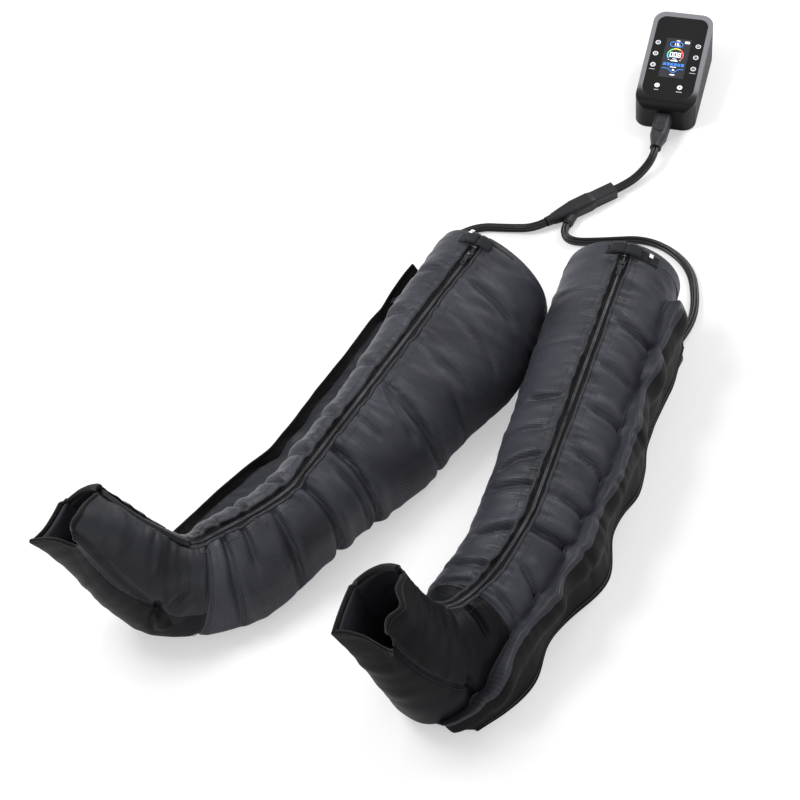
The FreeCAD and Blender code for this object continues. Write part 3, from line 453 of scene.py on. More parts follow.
hoseRoutes = {
    "main_hose": {"length": 0.139, "body": "main_hose_set", "ends": ["plug_shell", "inline_plug"],
                  "points": [(0.1267, 0.5612, 0.031), (0.132, 0.535, 0.031), (0.124, 0.5, 0.021),
                             (0.1089, 0.4638, 0.016), (0.0882, 0.4343, 0.016)]},
    "right_branch_hose": {"length": 0.361, "body": "sleeves", "ends": ["tail_relief"],
                          "points": [(-0.0054, 0.3009, 0.016), (-0.0215, 0.2779, 0.015),
                                     (-0.068, 0.264, 0.009), (-0.14, 0.24, 0.009), (-0.18, 0.165, 0.009),
                                     (-0.184, 0.1, 0.009), (-0.168, 0.038, 0.009)]},
    "left_branch_hose": {"length": 0.536, "body": "sleeves", "ends": ["outlet_relief"],
                         "points": [(0.036, 0.3117, 0.0125), (0.036, 0.289, 0.0125), (0.062, 0.276, 0.009),
                                    (0.116, 0.299, 0.009), (0.208, 0.345, 0.009), (0.306, 0.31, 0.009),
                                    (0.354, 0.222, 0.009), (0.366, 0.15, 0.009), (0.354, 0.092, 0.009)]},
}
hoseShape = {"diameter": 0.018, "strands": 4, "strandRadius": 0.0043, "strandReach": 0.0046, "twist": 2.2,
             "sides": 14, "resolution": 14}


def routePath(name, points):
    # the smooth line that a hose follows
    curve = bpy.data.curves.new(name + "_route", "CURVE")
    curve.dimensions = "3D"
    spline = curve.splines.new("NURBS")
    spline.points.add(len(points) - 1)
    for entry, point in zip(spline.points, points):
        entry.co = (*point, 1)
    spline.order_u = 3
    spline.use_endpoint_u = True
    spline.resolution_u = hoseShape["resolution"]
    line = bpy.data.objects.new(name + "_route", curve)
    bpy.context.scene.collection.objects.link(line)
    bpy.context.view_layer.update()
    evaluated = line.evaluated_get(bpy.context.evaluated_depsgraph_get())
    made = bpy.data.meshes.new_from_object(evaluated)
    path = np.array([tuple(v.co) for v in made.vertices])
    bpy.data.objects.remove(line)
    bpy.data.meshes.remove(made)
    return path


def addHoses():
    # a bundle of thin tubes, turning slowly about its middle
    strands = hoseShape["strands"]
    for name, spec in hoseRoutes.items():
        path = routePath(name, spec["points"])
        _, frames = tubeGrid(path, 1, 3)
        lines = []
        for i in range(strands):
            turn = (i + 0.5) * 2 * math.pi / strands + hoseShape["twist"] * runLength(path)
            offset = np.array([math.cos(t) * s + math.sin(t) * o for t, (s, o) in zip(turn, frames)])
            lines.append(path + offset * hoseShape["strandReach"])
        hose = tubePiece(name + "_tubes", lines, hoseShape["strandRadius"], hoseShape["sides"])
        useMaterial(hose, hoseRubber)
        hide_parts(name)
        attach(hose, spec["body"])
    print("hoses laid")


addHoses()

# crest: the ends of the straight crest; leg: distance along it, shift outward, width; foot: the crest, the
# sole and the width of each station; pulls: angle, spread and shift of the mouth; creases: depth, then the
# place and angle of each knot, in millimetres and degrees
sleeveForms = {
    "right": {
        "side": -1, "tag": (0.001, 80, 0.0085), "paintedLitUpper": True,
        "crest": ((-0.018, 0.060, 0.218), (-0.098, -0.570, 0.177)),
        "leg": [(0, -0.014, 0.240), (0.185, -0.040, 0.244), (0.333, -0.036, 0.200),
                (0.457, -0.036, 0.178), (0.636, -0.009, 0.160)],
        "foot": [((-0.180, -0.695, 0.157), (-0.146, -0.752, 0), 0.156),
                 ((-0.216, -0.740, 0.160), (-0.268, -0.855, 0.008), 0.158),
                 ((-0.256, -0.758, 0.200), (-0.330, -0.878, 0.092), 0.150),
                 ((-0.303, -0.770, 0.245), (-0.374, -0.882, 0.168), 0.140),
                 ((-0.356, -0.774, 0.296), (-0.416, -0.885, 0.246), 0.130)],
        "ankleSeam": 0.866, "soleSeam": [(0.940, -178), (1.050, -166), (1.156, -154)], "notch": 0.034,
        "pulls": [(-90, 26, (-0.015, -0.010, 0.0)), (-200, 26, (-0.024, -0.012, 0.004)),
                  (-236, 24, (-0.024, -0.014, 0))],
        "creases": [(5, 103, 98, 107, 129, 112, 160), (3, 179, 100, 188, 135, 214, 178),
                    (3, 262, 96, 275, 130, 270, 170), (3, 300, 150, 322, 210),
                    (6, 366, 98, 384, 122, 388, 176), (4, 384, 108, 420, 156),
                    (5, 388, 144, 397, 184, 395, 240), (4, 455, 98, 462, 132),
                    (9, 527, 100, 549, 164, 556, 220), (7, 563, 130, 572, 204),
                    (9, 625, 98, 628, 120, 639, 188, 636, 230), (7, 697, 104, 714, 156, 719, 201),
                    (5, 760, 100, 775, 140), (6, 805, 96, 822, 150, 815, 200), (4, 100, 78, 110, 40),
                    (4, 215, 78, 225, 30), (5, 345, 78, 352, 20), (6, 470, 78, 478, 30, 470, -10),
                    (6, 560, 78, 575, 20), (7, 640, 78, 650, 10), (6, 730, 78, 742, 20),
                    (6, 934, -150, 945, -164, 950, -182), (5, 912, -164, 940, -176),
                    (4, 930, -186, 905, -204)],
    },
    "left": {
        "side": 1, "tag": (0.012, 66, 0.0050), "paintedLitUpper": False,
        "crest": ((0.244, 0.148, 0.216), (0.314, -0.445, 0.176)),
        "leg": [(0, -0.014, 0.226), (0.165, -0.016, 0.222), (0.300, -0.016, 0.210),
                (0.420, -0.008, 0.216), (0.600, -0.016, 0.190)],
        "foot": [((0.292, -0.622, 0.164), (0.274, -0.638, 0), 0.182),
                 ((0.254, -0.685, 0.172), (0.260, -0.826, 0.010), 0.172),
                 ((0.234, -0.700, 0.208), (0.222, -0.842, 0.092), 0.156),
                 ((0.217, -0.708, 0.250), (0.178, -0.840, 0.172), 0.140),
                 ((0.199, -0.710, 0.292), (0.136, -0.836, 0.246), 0.130)],
        "ankleSeam": 0.800, "soleSeam": [(0.900, 0), (1.000, -12), (1.111, -26)], "notch": 0.062,
        "pulls": [(-90, 26, (-0.002, -0.006, -0.006)), (54, 17, (-0.013, -0.003, 0)),
                  (24, 11, (0.009, 0.002, 0)), (-4, 16, (-0.012, -0.004, 0)),
                  (-50, 20, (0.005, -0.001, -0.009))],
        "creases": [(5, 365, 138, 365, 110, 358, 98), (6, 519, 150, 498, 124, 489, 99),
                    (7, 558, 148, 554, 120, 549, 98), (9, 665, 140, 652, 118, 640, 98),
                    (9, 635, 82, 635, 62, 622, -9), (6, 369, 75, 369, 45, 378, 2),
                    (6, 463, 72, 472, 40, 489, 20), (6, 558, 68, 562, 40, 570, 0),
                    (5, 176, 78, 185, 50, 180, 15), (6, 699, 66, 729, 24), (5, 772, 68, 777, 32),
                    (6, 794, 141, 772, 98), (1.5, 112, 98, 120, 150), (2, 228, 98, 245, 160),
                    (4, 430, 100, 441, 170), (6, 730, 100, 738, 150), (4, 275, 76, 282, 30),
                    (6, 860, -30, 905, 5), (5, 845, 78, 850, 40)],
    },
}
# how deep each layer of cloth lies under the outer surface
layers = {"cover": 0.0018, "chamber": (0.0042, 0.0076), "lining": (0.0088, 0.0104)}
slotHalf = 0.0135
sleeveGrid = {"rows": 420, "columns": 200, "innerRows": 150, "innerColumns": 76, "fewestRows": 12,
              "slotGap": 0.001}


def legForm(spec, seed):
    # every station of a sleeve as its middle, half height, direction across, direction up and half width
    start, end = np.array(spec["crest"][0]), np.array(spec["crest"][1])
    heading = unit(end - start)
    outward = unit(np.array([-heading[1], heading[0], 0]))
    outward *= np.sign(outward[0]) * spec["side"]
    rows = []
    for distance, offset, width in spec["leg"]:
        crest = start + heading * distance
        middle = crest - np.array([0, 0, crest[2] / 2]) + outward * offset
        rows.append((crest, 2 * middle - crest, width))
    rows += [(np.array(c), np.array(b), w) for c, b, w in spec["foot"]]
    middles = [(c + b) / 2 for c, b, w in rows]
    values = []
    for i, (crest, base, width) in enumerate(rows):
        half = (crest - base) / 2
        tangent = unit(middles[min(i + 1, len(rows) - 1)] - middles[max(i - 1, 0)])
        if i < len(spec["leg"]):
            across = outward
        elif base[2] == 0:
            across = unit(np.cross(np.array([tangent[0], tangent[1], 0]), (0, 0, 1)))
        else:
            across = unit(np.cross(tangent, half))
        if across[0] * spec["side"] < 0:
            across = -across
        upward = np.array([0, 0, 1.0]) if i < len(spec["leg"]) else unit(half)
        values.append(np.concatenate([middles[i], half, across, upward, [width / 2, float(base[2] == 0)]]))
    knots = runLength(middles)
    legs = len(spec["leg"])
    return {**spec, "seed": seed, "values": np.array(values), "knots": knots, "toe": knots[-1],
            "zipEnd": knots[legs + 1], "legEnd": knots[legs - 1], "start": start, "heading": heading}


def formAt(form, places):
    places = np.asarray(places, float)
    v = along(form["values"], form["knots"], places.ravel()).reshape(places.shape + (14,))
    # the crest of the leg is straight, so that the slider can run along it
    off = v[..., 0:3] + v[..., 3:6] - form["start"]
    off -= (off @ form["heading"])[..., None] * form["heading"]
    v[..., 0:3] -= off * (places <= form["legEnd"])[..., None]
    return {"middle": v[..., 0:3], "half": v[..., 3:6], "across": unit(v[..., 6:9]), "up": unit(v[..., 9:12]),
            "reach": v[..., 12], "lying": clamped(v[..., 13])}


toeShape = {"pinchLength": 0.15, "point": 0.85, "pullBack": 0.012, "pullLength": 0.12, "notchWidth": 21}
squareness = 0.5  # how flat the underside of a lying leg is


def skinPoints(form, places, degrees, inset=0.0):
    # points of the skin: 90 degrees at the crest, 0 on the outer side of the leg
    at = formAt(form, places)
    t = np.radians(degrees)
    c, s = np.cos(t), np.sin(t)
    pinch = clamped((np.asarray(places) - form["toe"]) / toeShape["pinchLength"] + 1)
    pinch = pinch * pinch * (3 - 2 * pinch)
    power = 2.0 + clamped(-s * 8) * (squareness * at["lying"] * (1 - pinch) - toeShape["point"] * pinch)
    halfLength = np.linalg.norm(at["half"], axis=-1)
    sideways = np.sign(c) * np.abs(c) ** (2 / power) * (at["reach"] - inset)
    upward = np.sign(s) * np.abs(s) ** (2 / power) * (halfLength - inset)
    return at["middle"] + at["across"] * sideways[..., None] + unit(at["half"]) * upward[..., None]


def softNoise(u, v, seed, cell):
    # smooth random values from -1 to 1 over a plane
    table = np.random.default_rng(seed).uniform(-1, 1, (64, 64))
    x, y = np.asarray(u, float) / cell[0] + 512, np.asarray(v, float) / cell[1] + 512
    i, j = np.floor(x).astype(int), np.floor(y).astype(int)
    a, b = x - i, y - j
    a, b = a * a * (3 - 2 * a), b * b * (3 - 2 * b)
    pick = lambda p, q: table[p % 64, q % 64]
    return ((pick(i, j) * (1 - a) + pick(i + 1, j) * a) * (1 - b)
            + (pick(i, j + 1) * (1 - a) + pick(i + 1, j + 1) * a) * b)


def lineNoise(u, seed, cell):
    # the same along a line
    return softNoise(u, np.zeros(np.shape(u)), seed, (cell, 1))


def lineDistance(x, y, line):
    # distance of points from a bent line, and the share of the line that they are next to
    best, share, run = np.full(x.shape, 1e9), np.zeros(x.shape), 0
    total = sum(math.dist(a, b) for a, b in zip(line, line[1:]))
    for a, b in zip(line, line[1:]):
        d = np.subtract(b, a)
        t = clamped(((x - a[0]) * d[0] + (y - a[1]) * d[1]) / (d @ d))
        away = np.hypot(x - a[0] - t * d[0], y - a[1] - t * d[1])
        near = away < best
        best = np.where(near, away, best)
        share = np.where(near, (run + t * math.dist(a, b)) / total, share)
        run += math.dist(a, b)
    return best, share


reliefShape = {
    "girth": 0.95, "crease": 1.45, "creaseWidth": 0.0050, "softSide": 0.9, "creaseRadius": 0.105,
    "ridge": 0.50, "ridgePlace": 0.016, "ridgeWidth": 0.012, "puff": 0.0022, "pucker": 0.0030,
    "puckerReach": 0.022, "broad": 0.0026, "fold": 0.0034, "foldReach": (0.024, 0.045), "foldEnd": 0.08,
    "warp": 0.016, "lean": 0.25, "slant": 0.35, "wrinkle": 0.0013, "ankle": 0.0055, "ankleWidth": 0.006,
    "ankleFade": 0.02, "sole": 0.0050, "soleWidth": 0.0042, "soleRadius": 0.075, "upper": 0.0060,
    "upperLength": 0.20, "upperFade": 0.12, "rimFade": 0.02, "toeFade": 0.012, "guardWidth": 0.006,
}
# the patterns of the relief: number of the pattern, size along the leg and round it
reliefNoise = {"pucker": (0, 0.008, 0.05), "widePucker": (1, 0.015, 0.06), "broad": (2, 0.060, 0.12),
               "wrinkle": (3, 0.016, 0.07), "cross": (4, 0.030, 0.012), "bunch": (5, 0.045, 1),
               "fold": (6, 0.021, 1), "warp": (7, 0.055, 1)}


def slope(line):
    (x0, y0), (x1, y1) = line[0], line[-1]
    return (x1 - x0) / (y1 - y0) if abs(y1 - y0) > 1e-6 else 0.0


def creaseRelief(form, places, degrees, girth):
    shape = reliefShape
    lift = np.zeros(np.shape(places))
    for deep, *marks in form["creases"]:
        depth = deep / 1000
        line = [(x / 1000, math.radians(y)) for x, y in zip(marks[::2], marks[1::2])]
        middle = sum(y for x, y in line) / len(line)
        flat = [(x, (y - middle) * shape["creaseRadius"]) for x, y in line]
        for turn in (0, 360):
            y = (np.radians(degrees + turn) - middle) * girth
            away, share = lineDistance(places, y, flat)
            fade = np.clip(1.25 - np.abs(2 * share - 1) ** 3, 0.2, 1)
            # the cloth folds over on one side of the crease: a steep side and a long soft one
            beyond = places - flat[0][0] - (y - flat[0][1]) * slope(flat) > 0
            width = shape["creaseWidth"] * (1 + shape["softSide"] * beyond)
            lift -= depth * shape["crease"] * fade * bell(away, width)
            lift += (depth * shape["ridge"] * fade * (1.3 - 0.6 * beyond)
                     * bell(away - shape["ridgePlace"], shape["ridgeWidth"]))
    return lift


def relief(form, places, degrees):
    # how far the padded cloth stands out from the plain form
    def soft(kind, u, v):
        number, *cell = reliefNoise[kind]
        return softNoise(u, v, form["seed"] + number, cell)

    shape = reliefShape
    girth = formAt(form, places)["reach"] * shape["girth"]
    lift = creaseRelief(form, places, degrees, girth)
    foot = clamped((places - form["ankleSeam"]) / shape["ankleFade"])
    arc = np.radians(degrees) * girth
    slot = np.radians(np.minimum(np.abs(degrees - 90), np.abs(degrees + 270))) * girth
    beside = slot - slotHalf
    pucker = soft("pucker", places, arc) + 0.6 * soft("widePucker", places, arc)
    lift += shape["pucker"] * pucker * bell(beside, shape["puckerReach"]) * (1 - 0.7 * foot)
    lift += shape["broad"] * soft("broad", places, arc) * (1 - 0.5 * foot)
    # short sharp folds that start at the zip, in bunches
    half = np.sign(degrees - 90) * 2
    bunch = (clamped(soft("bunch", places, half) + 0.05)
             * clamped((form["ankleSeam"] - shape["ankleFade"] - places) / shape["foldEnd"]))
    warped = places + shape["warp"] * soft("warp", places, half) + shape["lean"] * beside
    comb = 1 - np.abs(soft("fold", warped, arc * 0)) * 2.2
    near, far = shape["foldReach"]
    lift += (shape["fold"] * np.clip(comb, -0.4, 1) * bunch * (1 - foot)
             * bell(clamped(beside), near + far * bunch))
    slant = places + shape["slant"] * arc
    lift += shape["wrinkle"] * (soft("wrinkle", slant, arc) + 0.5 * soft("cross", slant * 0.7 - arc, places))
    lift -= shape["ankle"] * bell(places - form["ankleSeam"], shape["ankleWidth"])
    seam = [(x, math.radians(y) * shape["soleRadius"]) for x, y in form["soleSeam"]]
    lift -= shape["sole"] * bell(lineDistance(places, arc, seam)[0], shape["soleWidth"]) * foot
    lift += shape["puff"] * (1 - foot)
    # the upper of the foot is padded up to its mouth
    upper = clamped(np.sin(np.radians(degrees)) * 2 + 1.2)
    fromToe = form["toe"] - places
    lift += (shape["upper"] * upper * foot * clamped((fromToe + 0.004) / 0.016)
             * clamped((shape["upperLength"] - fromToe) / shape["upperFade"]))
    # it is calm at both ends, and never sinks beside the zip
    ends = clamped(places / shape["rimFade"]) * np.clip(fromToe / shape["toeFade"], 0.25, 1)
    guard = bell(clamped(slot - slotHalf * 0.7), shape["guardWidth"]) * (1 - foot)
    return (lift * (1 - guard) + np.maximum(lift, 0) * guard) * ends


def skinNormals(points, form, places):
    normal = gridNormal(points)
    return normal * np.sign(np.sum(normal * (points - formAt(form, places)["middle"])))


def slotDegrees(form, places, half):
    return np.degrees(np.arcsin(np.clip(half / formAt(form, places)["reach"], 0, 0.9)))


edgeWaves = {"depth": 0.16, "cell": 0.028, "start": 0.07, "fade": 0.03}


def sleevePlaces(form, start, end, rows, columns, half=slotHalf, waves=False):
    # a grid of places and angles from one edge of the slot, under the leg, to the other
    places = np.repeat(np.linspace(start, end, rows)[:, None], columns, 1)
    edge = far = slotDegrees(form, places, half)
    if waves:
        calm = (clamped((places - edgeWaves["start"]) / edgeWaves["fade"])
                * clamped((form["zipEnd"] - places) / edgeWaves["fade"]))
        bows = [clamped(0.45 + lineNoise(places, form["seed"] + 30 + k, edgeWaves["cell"])) for k in (0, 1)]
        edge, far = (edge * (1 - edgeWaves["depth"] * calm * bow) for bow in bows)
    share = np.linspace(0, 1, columns)[None]
    degrees = (90 - edge) * (1 - share) + (-270 + far) * share
    toward = clamped((places - form["toe"]) / toeShape["pullLength"] + 1) ** 2
    upper = clamped(np.sin(np.radians(degrees)) * 3 + 0.9)
    notch = bell(degrees - form["soleSeam"][-1][1], toeShape["notchWidth"])
    return places - toward * (toeShape["pullBack"] * upper + form["notch"] * notch), degrees


mouthLength = 0.10
ground = 0.0006


def sleeveLayer(form, places, degrees, depth):
    base = skinPoints(form, places, degrees)
    normal = skinNormals(base, form, places)
    made = base + normal * (relief(form, places, degrees) - depth)[..., None]
    # the mouth is pressed together, and its lowest corner is drawn out
    near = clamped((places - form["toe"]) / mouthLength + 1) ** 2
    for angle, width, shift in form["pulls"]:
        made += (near * bell(degrees - angle, width))[..., None] * np.array(shift)
    return lifted(made, ground + depth)


def layerPiece(name, form, grid, depths):
    # a closed layer of cloth between two depths under the outer surface
    places, degrees = grid
    arc = np.radians(degrees) * formAt(form, places)["reach"]
    outer, inner = (sleeveLayer(form, places, degrees, depth) for depth in depths)
    return shellPiece(name, outer, inner, np.stack([places, arc], -1)), outer


def surfaceLine(form, places, degrees):
    # points on the padded cloth and the directions away from it
    p = np.repeat(np.asarray(places, float)[:, None], 3, 1)
    d = np.asarray(degrees, float)[:, None] + np.array([-1.5, 0, 1.5])
    normal = skinNormals(skinPoints(form, p, d), form, p)
    return sleeveLayer(form, p, d, 0)[:, 1], normal[:, 1]


stitch = {"pitch": 0.0046, "length": 0.0031, "radius": 0.00042, "rise": 0.0005}


def stitchPiece(name, lines):
    # a row of short threads along each line of points and normals
    length, paths = stitch["length"], []
    for line, normals in lines:
        steps = runLength(line)
        for start in np.arange(0, steps[-1] - length, stitch["pitch"]):
            at = [start, start + length / 2, start + length]
            path = np.stack([np.interp(at, steps, line[:, k]) for k in range(3)], 1)
            path[1] += stitch["rise"] * np.array([np.interp(start, steps, normals[:, k]) for k in range(3)])
            paths.append(path)
    return onSleeve(tubePiece(name, paths, stitch["radius"], 5), thread)


tagShape = {"width": 0.008, "length": 0.011, "thickness": 0.0006, "curl": 0.004, "rows": 5, "columns": 4}


def addTag(name, form):
    # a small plain label beside the strap
    shape = tagShape
    rows = np.linspace(0, shape["length"], shape["rows"])
    columns = np.linspace(-0.5, 0.5, shape["columns"]) * shape["width"]
    place, angle, height = form["tag"]
    line, normal = surfaceLine(form, place + rows * 0.3, np.full(shape["rows"], angle))
    across = unit(np.cross(normal, np.gradient(line, axis=0)))[0]
    lengthwise = unit(np.cross(across, normal[0]))
    rise = height + shape["curl"] * (rows / rows[-1]) ** 2
    outer = (line[0] + lengthwise * rows[:, None, None] + across * columns[None, :, None]
             + normal[0] * rise[:, None, None])
    onSleeve(shellPiece(name + "_tag", outer + normal[0] * shape["thickness"], outer), tagWhite)


seamStitches = {"fromZip": 0.0275, "ankle": 0.0045, "sole": 3.2, "rim": 0.013, "turn": (78, -258)}


def addStitches(name, form):
    # along both sides of the zip, round the ankle and the rim, and along the sole
    shape, zipSide = seamStitches, np.linspace(0.045, form["zipEnd"] - 0.02, 260)
    aside = np.degrees(shape["fromZip"] / formAt(form, zipSide)["reach"])
    routes = [(zipSide, 90 - sign * aside) for sign in (-1, 1)]
    around = np.linspace(*shape["turn"], 220)
    rings = (form["ankleSeam"] - shape["ankle"], form["ankleSeam"] + shape["ankle"], shape["rim"])
    routes += [(np.full(220, place), around) for place in rings]
    knots, angles = np.array(form["soleSeam"]).T
    sole = np.linspace(knots[0] + 0.004, form["toe"] - form["notch"] - 0.018, 90)
    routes += [(sole, np.interp(sole, knots, angles) + shift) for shift in (-shape["sole"], shape["sole"])]
    stitchPiece(name + "_stitching", [surfaceLine(form, *route) for route in routes])


# the stations where each chamber starts and ends
chambers = {"thigh_chamber": (None, 2), "knee_chamber": (2, 4), "calf_chamber": (4, 5),
            "foot_chamber": (5, None)}
layerGaps = {"chamberEnd": 0.006, "between": 0.0015, "liningEnd": 0.004}


def addLegCloth(name, form, grid):
    # the outer cloth, with its foot in a cloth of its own; on the right sleeve the foot's upper takes a
    # lighter copy of the foot cloth, painted light where the upper faces the lamps
    places, degrees = grid
    cover, outer = layerPiece(name + "_leg_cloth", form, grid, (0, layers["cover"]))
    useMaterial(cover, legCloth)
    cover.data.materials.append(footCloth)
    cover.data.materials.append(litFootCloth)
    isFoot = (places[:-1, :-1] > form["ankleSeam"]).ravel().astype(int)
    # painted light: the upper, away from the sole, takes the lighter copy of the foot cloth
    if form["paintedLitUpper"]:
        seam = np.interp(places[:-1, :-1], *np.array(form["soleSeam"]).T)
        isFoot += isFoot * ((degrees[:-1, :-1] < seam) | (degrees[:-1, :-1] > 0)).ravel()
    indices = np.zeros(len(cover.data.polygons), int)
    indices[:2 * len(isFoot)] = np.tile(isFoot, 2)
    cover.data.polygons.foreach_set("material_index", indices)
    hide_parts(name + "_cover")
    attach(cover, "sleeves")
    return outer


def addInnerCloths(name, form):
    # four air chambers one after the other, and the lining under them
    knots, toe, gaps = form["knots"], form["toe"], layerGaps
    innerSlot = slotHalf + sleeveGrid["slotGap"]
    spans = []
    for label, (first, last) in chambers.items():
        start = gaps["chamberEnd"] if first is None else knots[first] + gaps["between"]
        end = toe - gaps["chamberEnd"] if last is None else knots[last] - gaps["between"]
        rows = max(sleeveGrid["fewestRows"], int(sleeveGrid["innerRows"] * (end - start) / toe))
        spans.append((label, start, end, rows))
    spans.append(("lining", gaps["liningEnd"], toe - gaps["liningEnd"], sleeveGrid["innerRows"]))
    for label, start, end, rows in spans:
        kind, cloth = ("lining", liningCloth) if label == "lining" else ("chamber", chamberCloth)
        grid = sleevePlaces(form, start, end, rows, sleeveGrid["innerColumns"], innerSlot)
        piece, _ = layerPiece(f"{name}_{label}_cloth", form, grid, layers[kind])
        onSleeve(piece, cloth, f"{name}_{label}")


def addSleeve(name, spec, seed):
    form = legForm(spec, seed)
    grid = sleevePlaces(form, 0, form["toe"], sleeveGrid["rows"], sleeveGrid["columns"], waves=True)
    outer = addLegCloth(name, form, grid)
    addInnerCloths(name, form)
    addHems(name, form, grid, outer)
    addZip(name, form)
    addPocket(name, form)
    addStraps(name, form)
    addStitches(name, form)
    addTag(name, form)
    print(name, "sleeve made")


hemShape = {"sides": 12, "flatness": 0.75, "weltRadius": 0.0034, "weltDrop": 0.0012, "rimPiping": 0.021,
            "pipingRadius": 0.0020, "pipingTurn": (48, -228), "clear": 0.0004}


def roundHem(name, line, normals, radii, away):
    # a rolled edge: a tube flattened along the direction that the cloth leaves by
    sides = hemShape["sides"]
    angles = np.linspace(0, 2 * math.pi, sides, endpoint=False)[:, None]
    rings = np.array([point + radius * (np.cos(angles) * normal + hemShape["flatness"] * np.sin(angles) * out)
                      for point, normal, radius, out in zip(line, normals, radii, away)])
    span = runLength(line)
    uvs = [(a, b * 0.002) for a in span for b in range(sides)] + [(0, 0), (span[-1], 0)]
    piece = meshPiece(name, ringPoints(rings), ringFaces(len(rings), sides), True, uvs)
    return onSleeve(piece, binding)


def addHems(name, form, grid, outer):
    places, degrees = grid
    inner = sleeveLayer(form, places, degrees, layers["lining"][1])
    for label, row, step in (("thigh_hem", 0, 1), ("mouth_hem", -1, -2)):
        across = outer[row] - inner[row]
        radii = np.linalg.norm(across, axis=-1) / 2
        if label == "mouth_hem":
            rise = clamped(np.sin(np.radians(degrees[row])) * 1.6 + 0.9)
            radii = radii * (0.75 + 0.55 * rise + 0.12 * lineNoise(degrees[row], form["seed"] + 60, 14))
        away = unit(outer[row] - outer[step])
        roundHem(f"{name}_{label}", (outer[row] + inner[row]) / 2, unit(across), radii, away)
    around = np.linspace(*hemShape["pipingTurn"], 150)
    rim, _ = surfaceLine(form, np.full(150, hemShape["rimPiping"]), around)
    lifted(rim, hemShape["pipingRadius"] + hemShape["clear"])
    onSleeve(tubePiece(name + "_rim_piping", [rim], hemShape["pipingRadius"], 8), weltCloth)
    # welts where the cloth is folded beside the zip
    keep = places[:, 0] < form["zipEnd"] + 0.01
    for label, column in (("outer_welt", 0), ("inner_welt", -1)):
        line = (outer[keep, column] - np.array([0, 0, hemShape["weltDrop"]]))[::2]
        onSleeve(tubePiece(f"{name}_{label}", [line], hemShape["weltRadius"]), weltCloth)


zipShape = {"drop": 0.0024, "thickness": 0.001, "columns": (0.0007, 0.0029, 0.0058, 0.0078, 0.0131),
            "ridge": (0.0008, 0.0002, 0, 0.0010, 0), "rows": 150, "height": 0.0026, "pitch": 0.0023,
            "tooth": 0.0015, "teeth": (0.00028, 0.0029), "teethSlope": (0.0002, 0.0008), "ends": 0.003}
instep = {"rows": 60, "columns": 9, "edge": 0.001, "crown": 0.0022, "lift": 0.0004, "thickness": 0.002,
          "gap": 0.0005, "piping": 0.0022, "pipingLift": 0.0020}
boxFaces = ((0, 1, 3, 2), (4, 6, 7, 5), (0, 4, 5, 1), (2, 3, 7, 6), (1, 5, 7, 3), (0, 2, 6, 4))


def crestLine(form, places, sideways, lift):
    at = formAt(form, places)
    return at["middle"] + at["half"] + at["across"] * sideways + at["up"] * lift


def crestSheet(name, form, places, columns, high, low, sign=1):
    # a strip along the crest, made of lines at given distances from its middle
    outer, inner = (np.stack([crestLine(form, places, sign * x, lift) for x, lift in zip(columns, lifts)], 1)
                    for lifts in (high, low))
    return shellPiece(name, outer, inner, np.stack(np.meshgrid(places, columns, indexing="ij"), -1))


def addZip(name, form):
    shape, top = zipShape, -zipShape["drop"]
    places = np.linspace(0, form["zipEnd"], shape["rows"])
    high, low = [top + rise for rise in shape["ridge"]], [top - shape["thickness"]] * 5
    for sign, label in ((-1, "inner"), (1, "outer")):
        tape = crestSheet(f"{name}_tape_{label}", form, places, shape["columns"], high, low, sign)
        onSleeve(tape, zipTape, name + "_zip")
    # teeth of the coil
    points, faces = [], []
    for k in range(int((form["zipEnd"] - 2 * shape["ends"]) / shape["pitch"])):
        for sign, shift in ((-1, 0), (1, 0.5)):
            place = shape["ends"] + (k + shift) * shape["pitch"]
            faces += [tuple(len(points) + i for i in face) for face in boxFaces]
            for end in (place - shape["tooth"] / 2, place + shape["tooth"] / 2):
                for across, drop in zip(shape["teeth"], shape["teethSlope"]):
                    points += [crestLine(form, np.array([end]), sign * across, lift)[0]
                               for lift in (top, top + shape["height"] - drop)]
    onSleeve(meshPiece(name + "_coil", points, faces), coilNylon)
    # the closed instep beyond the zip
    toeEnd = form["toe"] - toeShape["pullBack"] - 0.002
    places = np.linspace(form["zipEnd"] + instep["gap"], toeEnd, instep["rows"])
    columns = np.linspace(-1, 1, instep["columns"]) * (slotHalf + instep["edge"])
    crown = instep["crown"] * (1 - (columns / slotHalf) ** 2) + instep["lift"]
    onSleeve(crestSheet(name + "_instep_cloth", form, places, columns, crown, crown - instep["thickness"]),
             footCloth)
    piping = crestLine(form, places, 0, instep["pipingLift"])
    onSleeve(tubePiece(name + "_instep_piping", [piping], instep["piping"]), weltCloth)


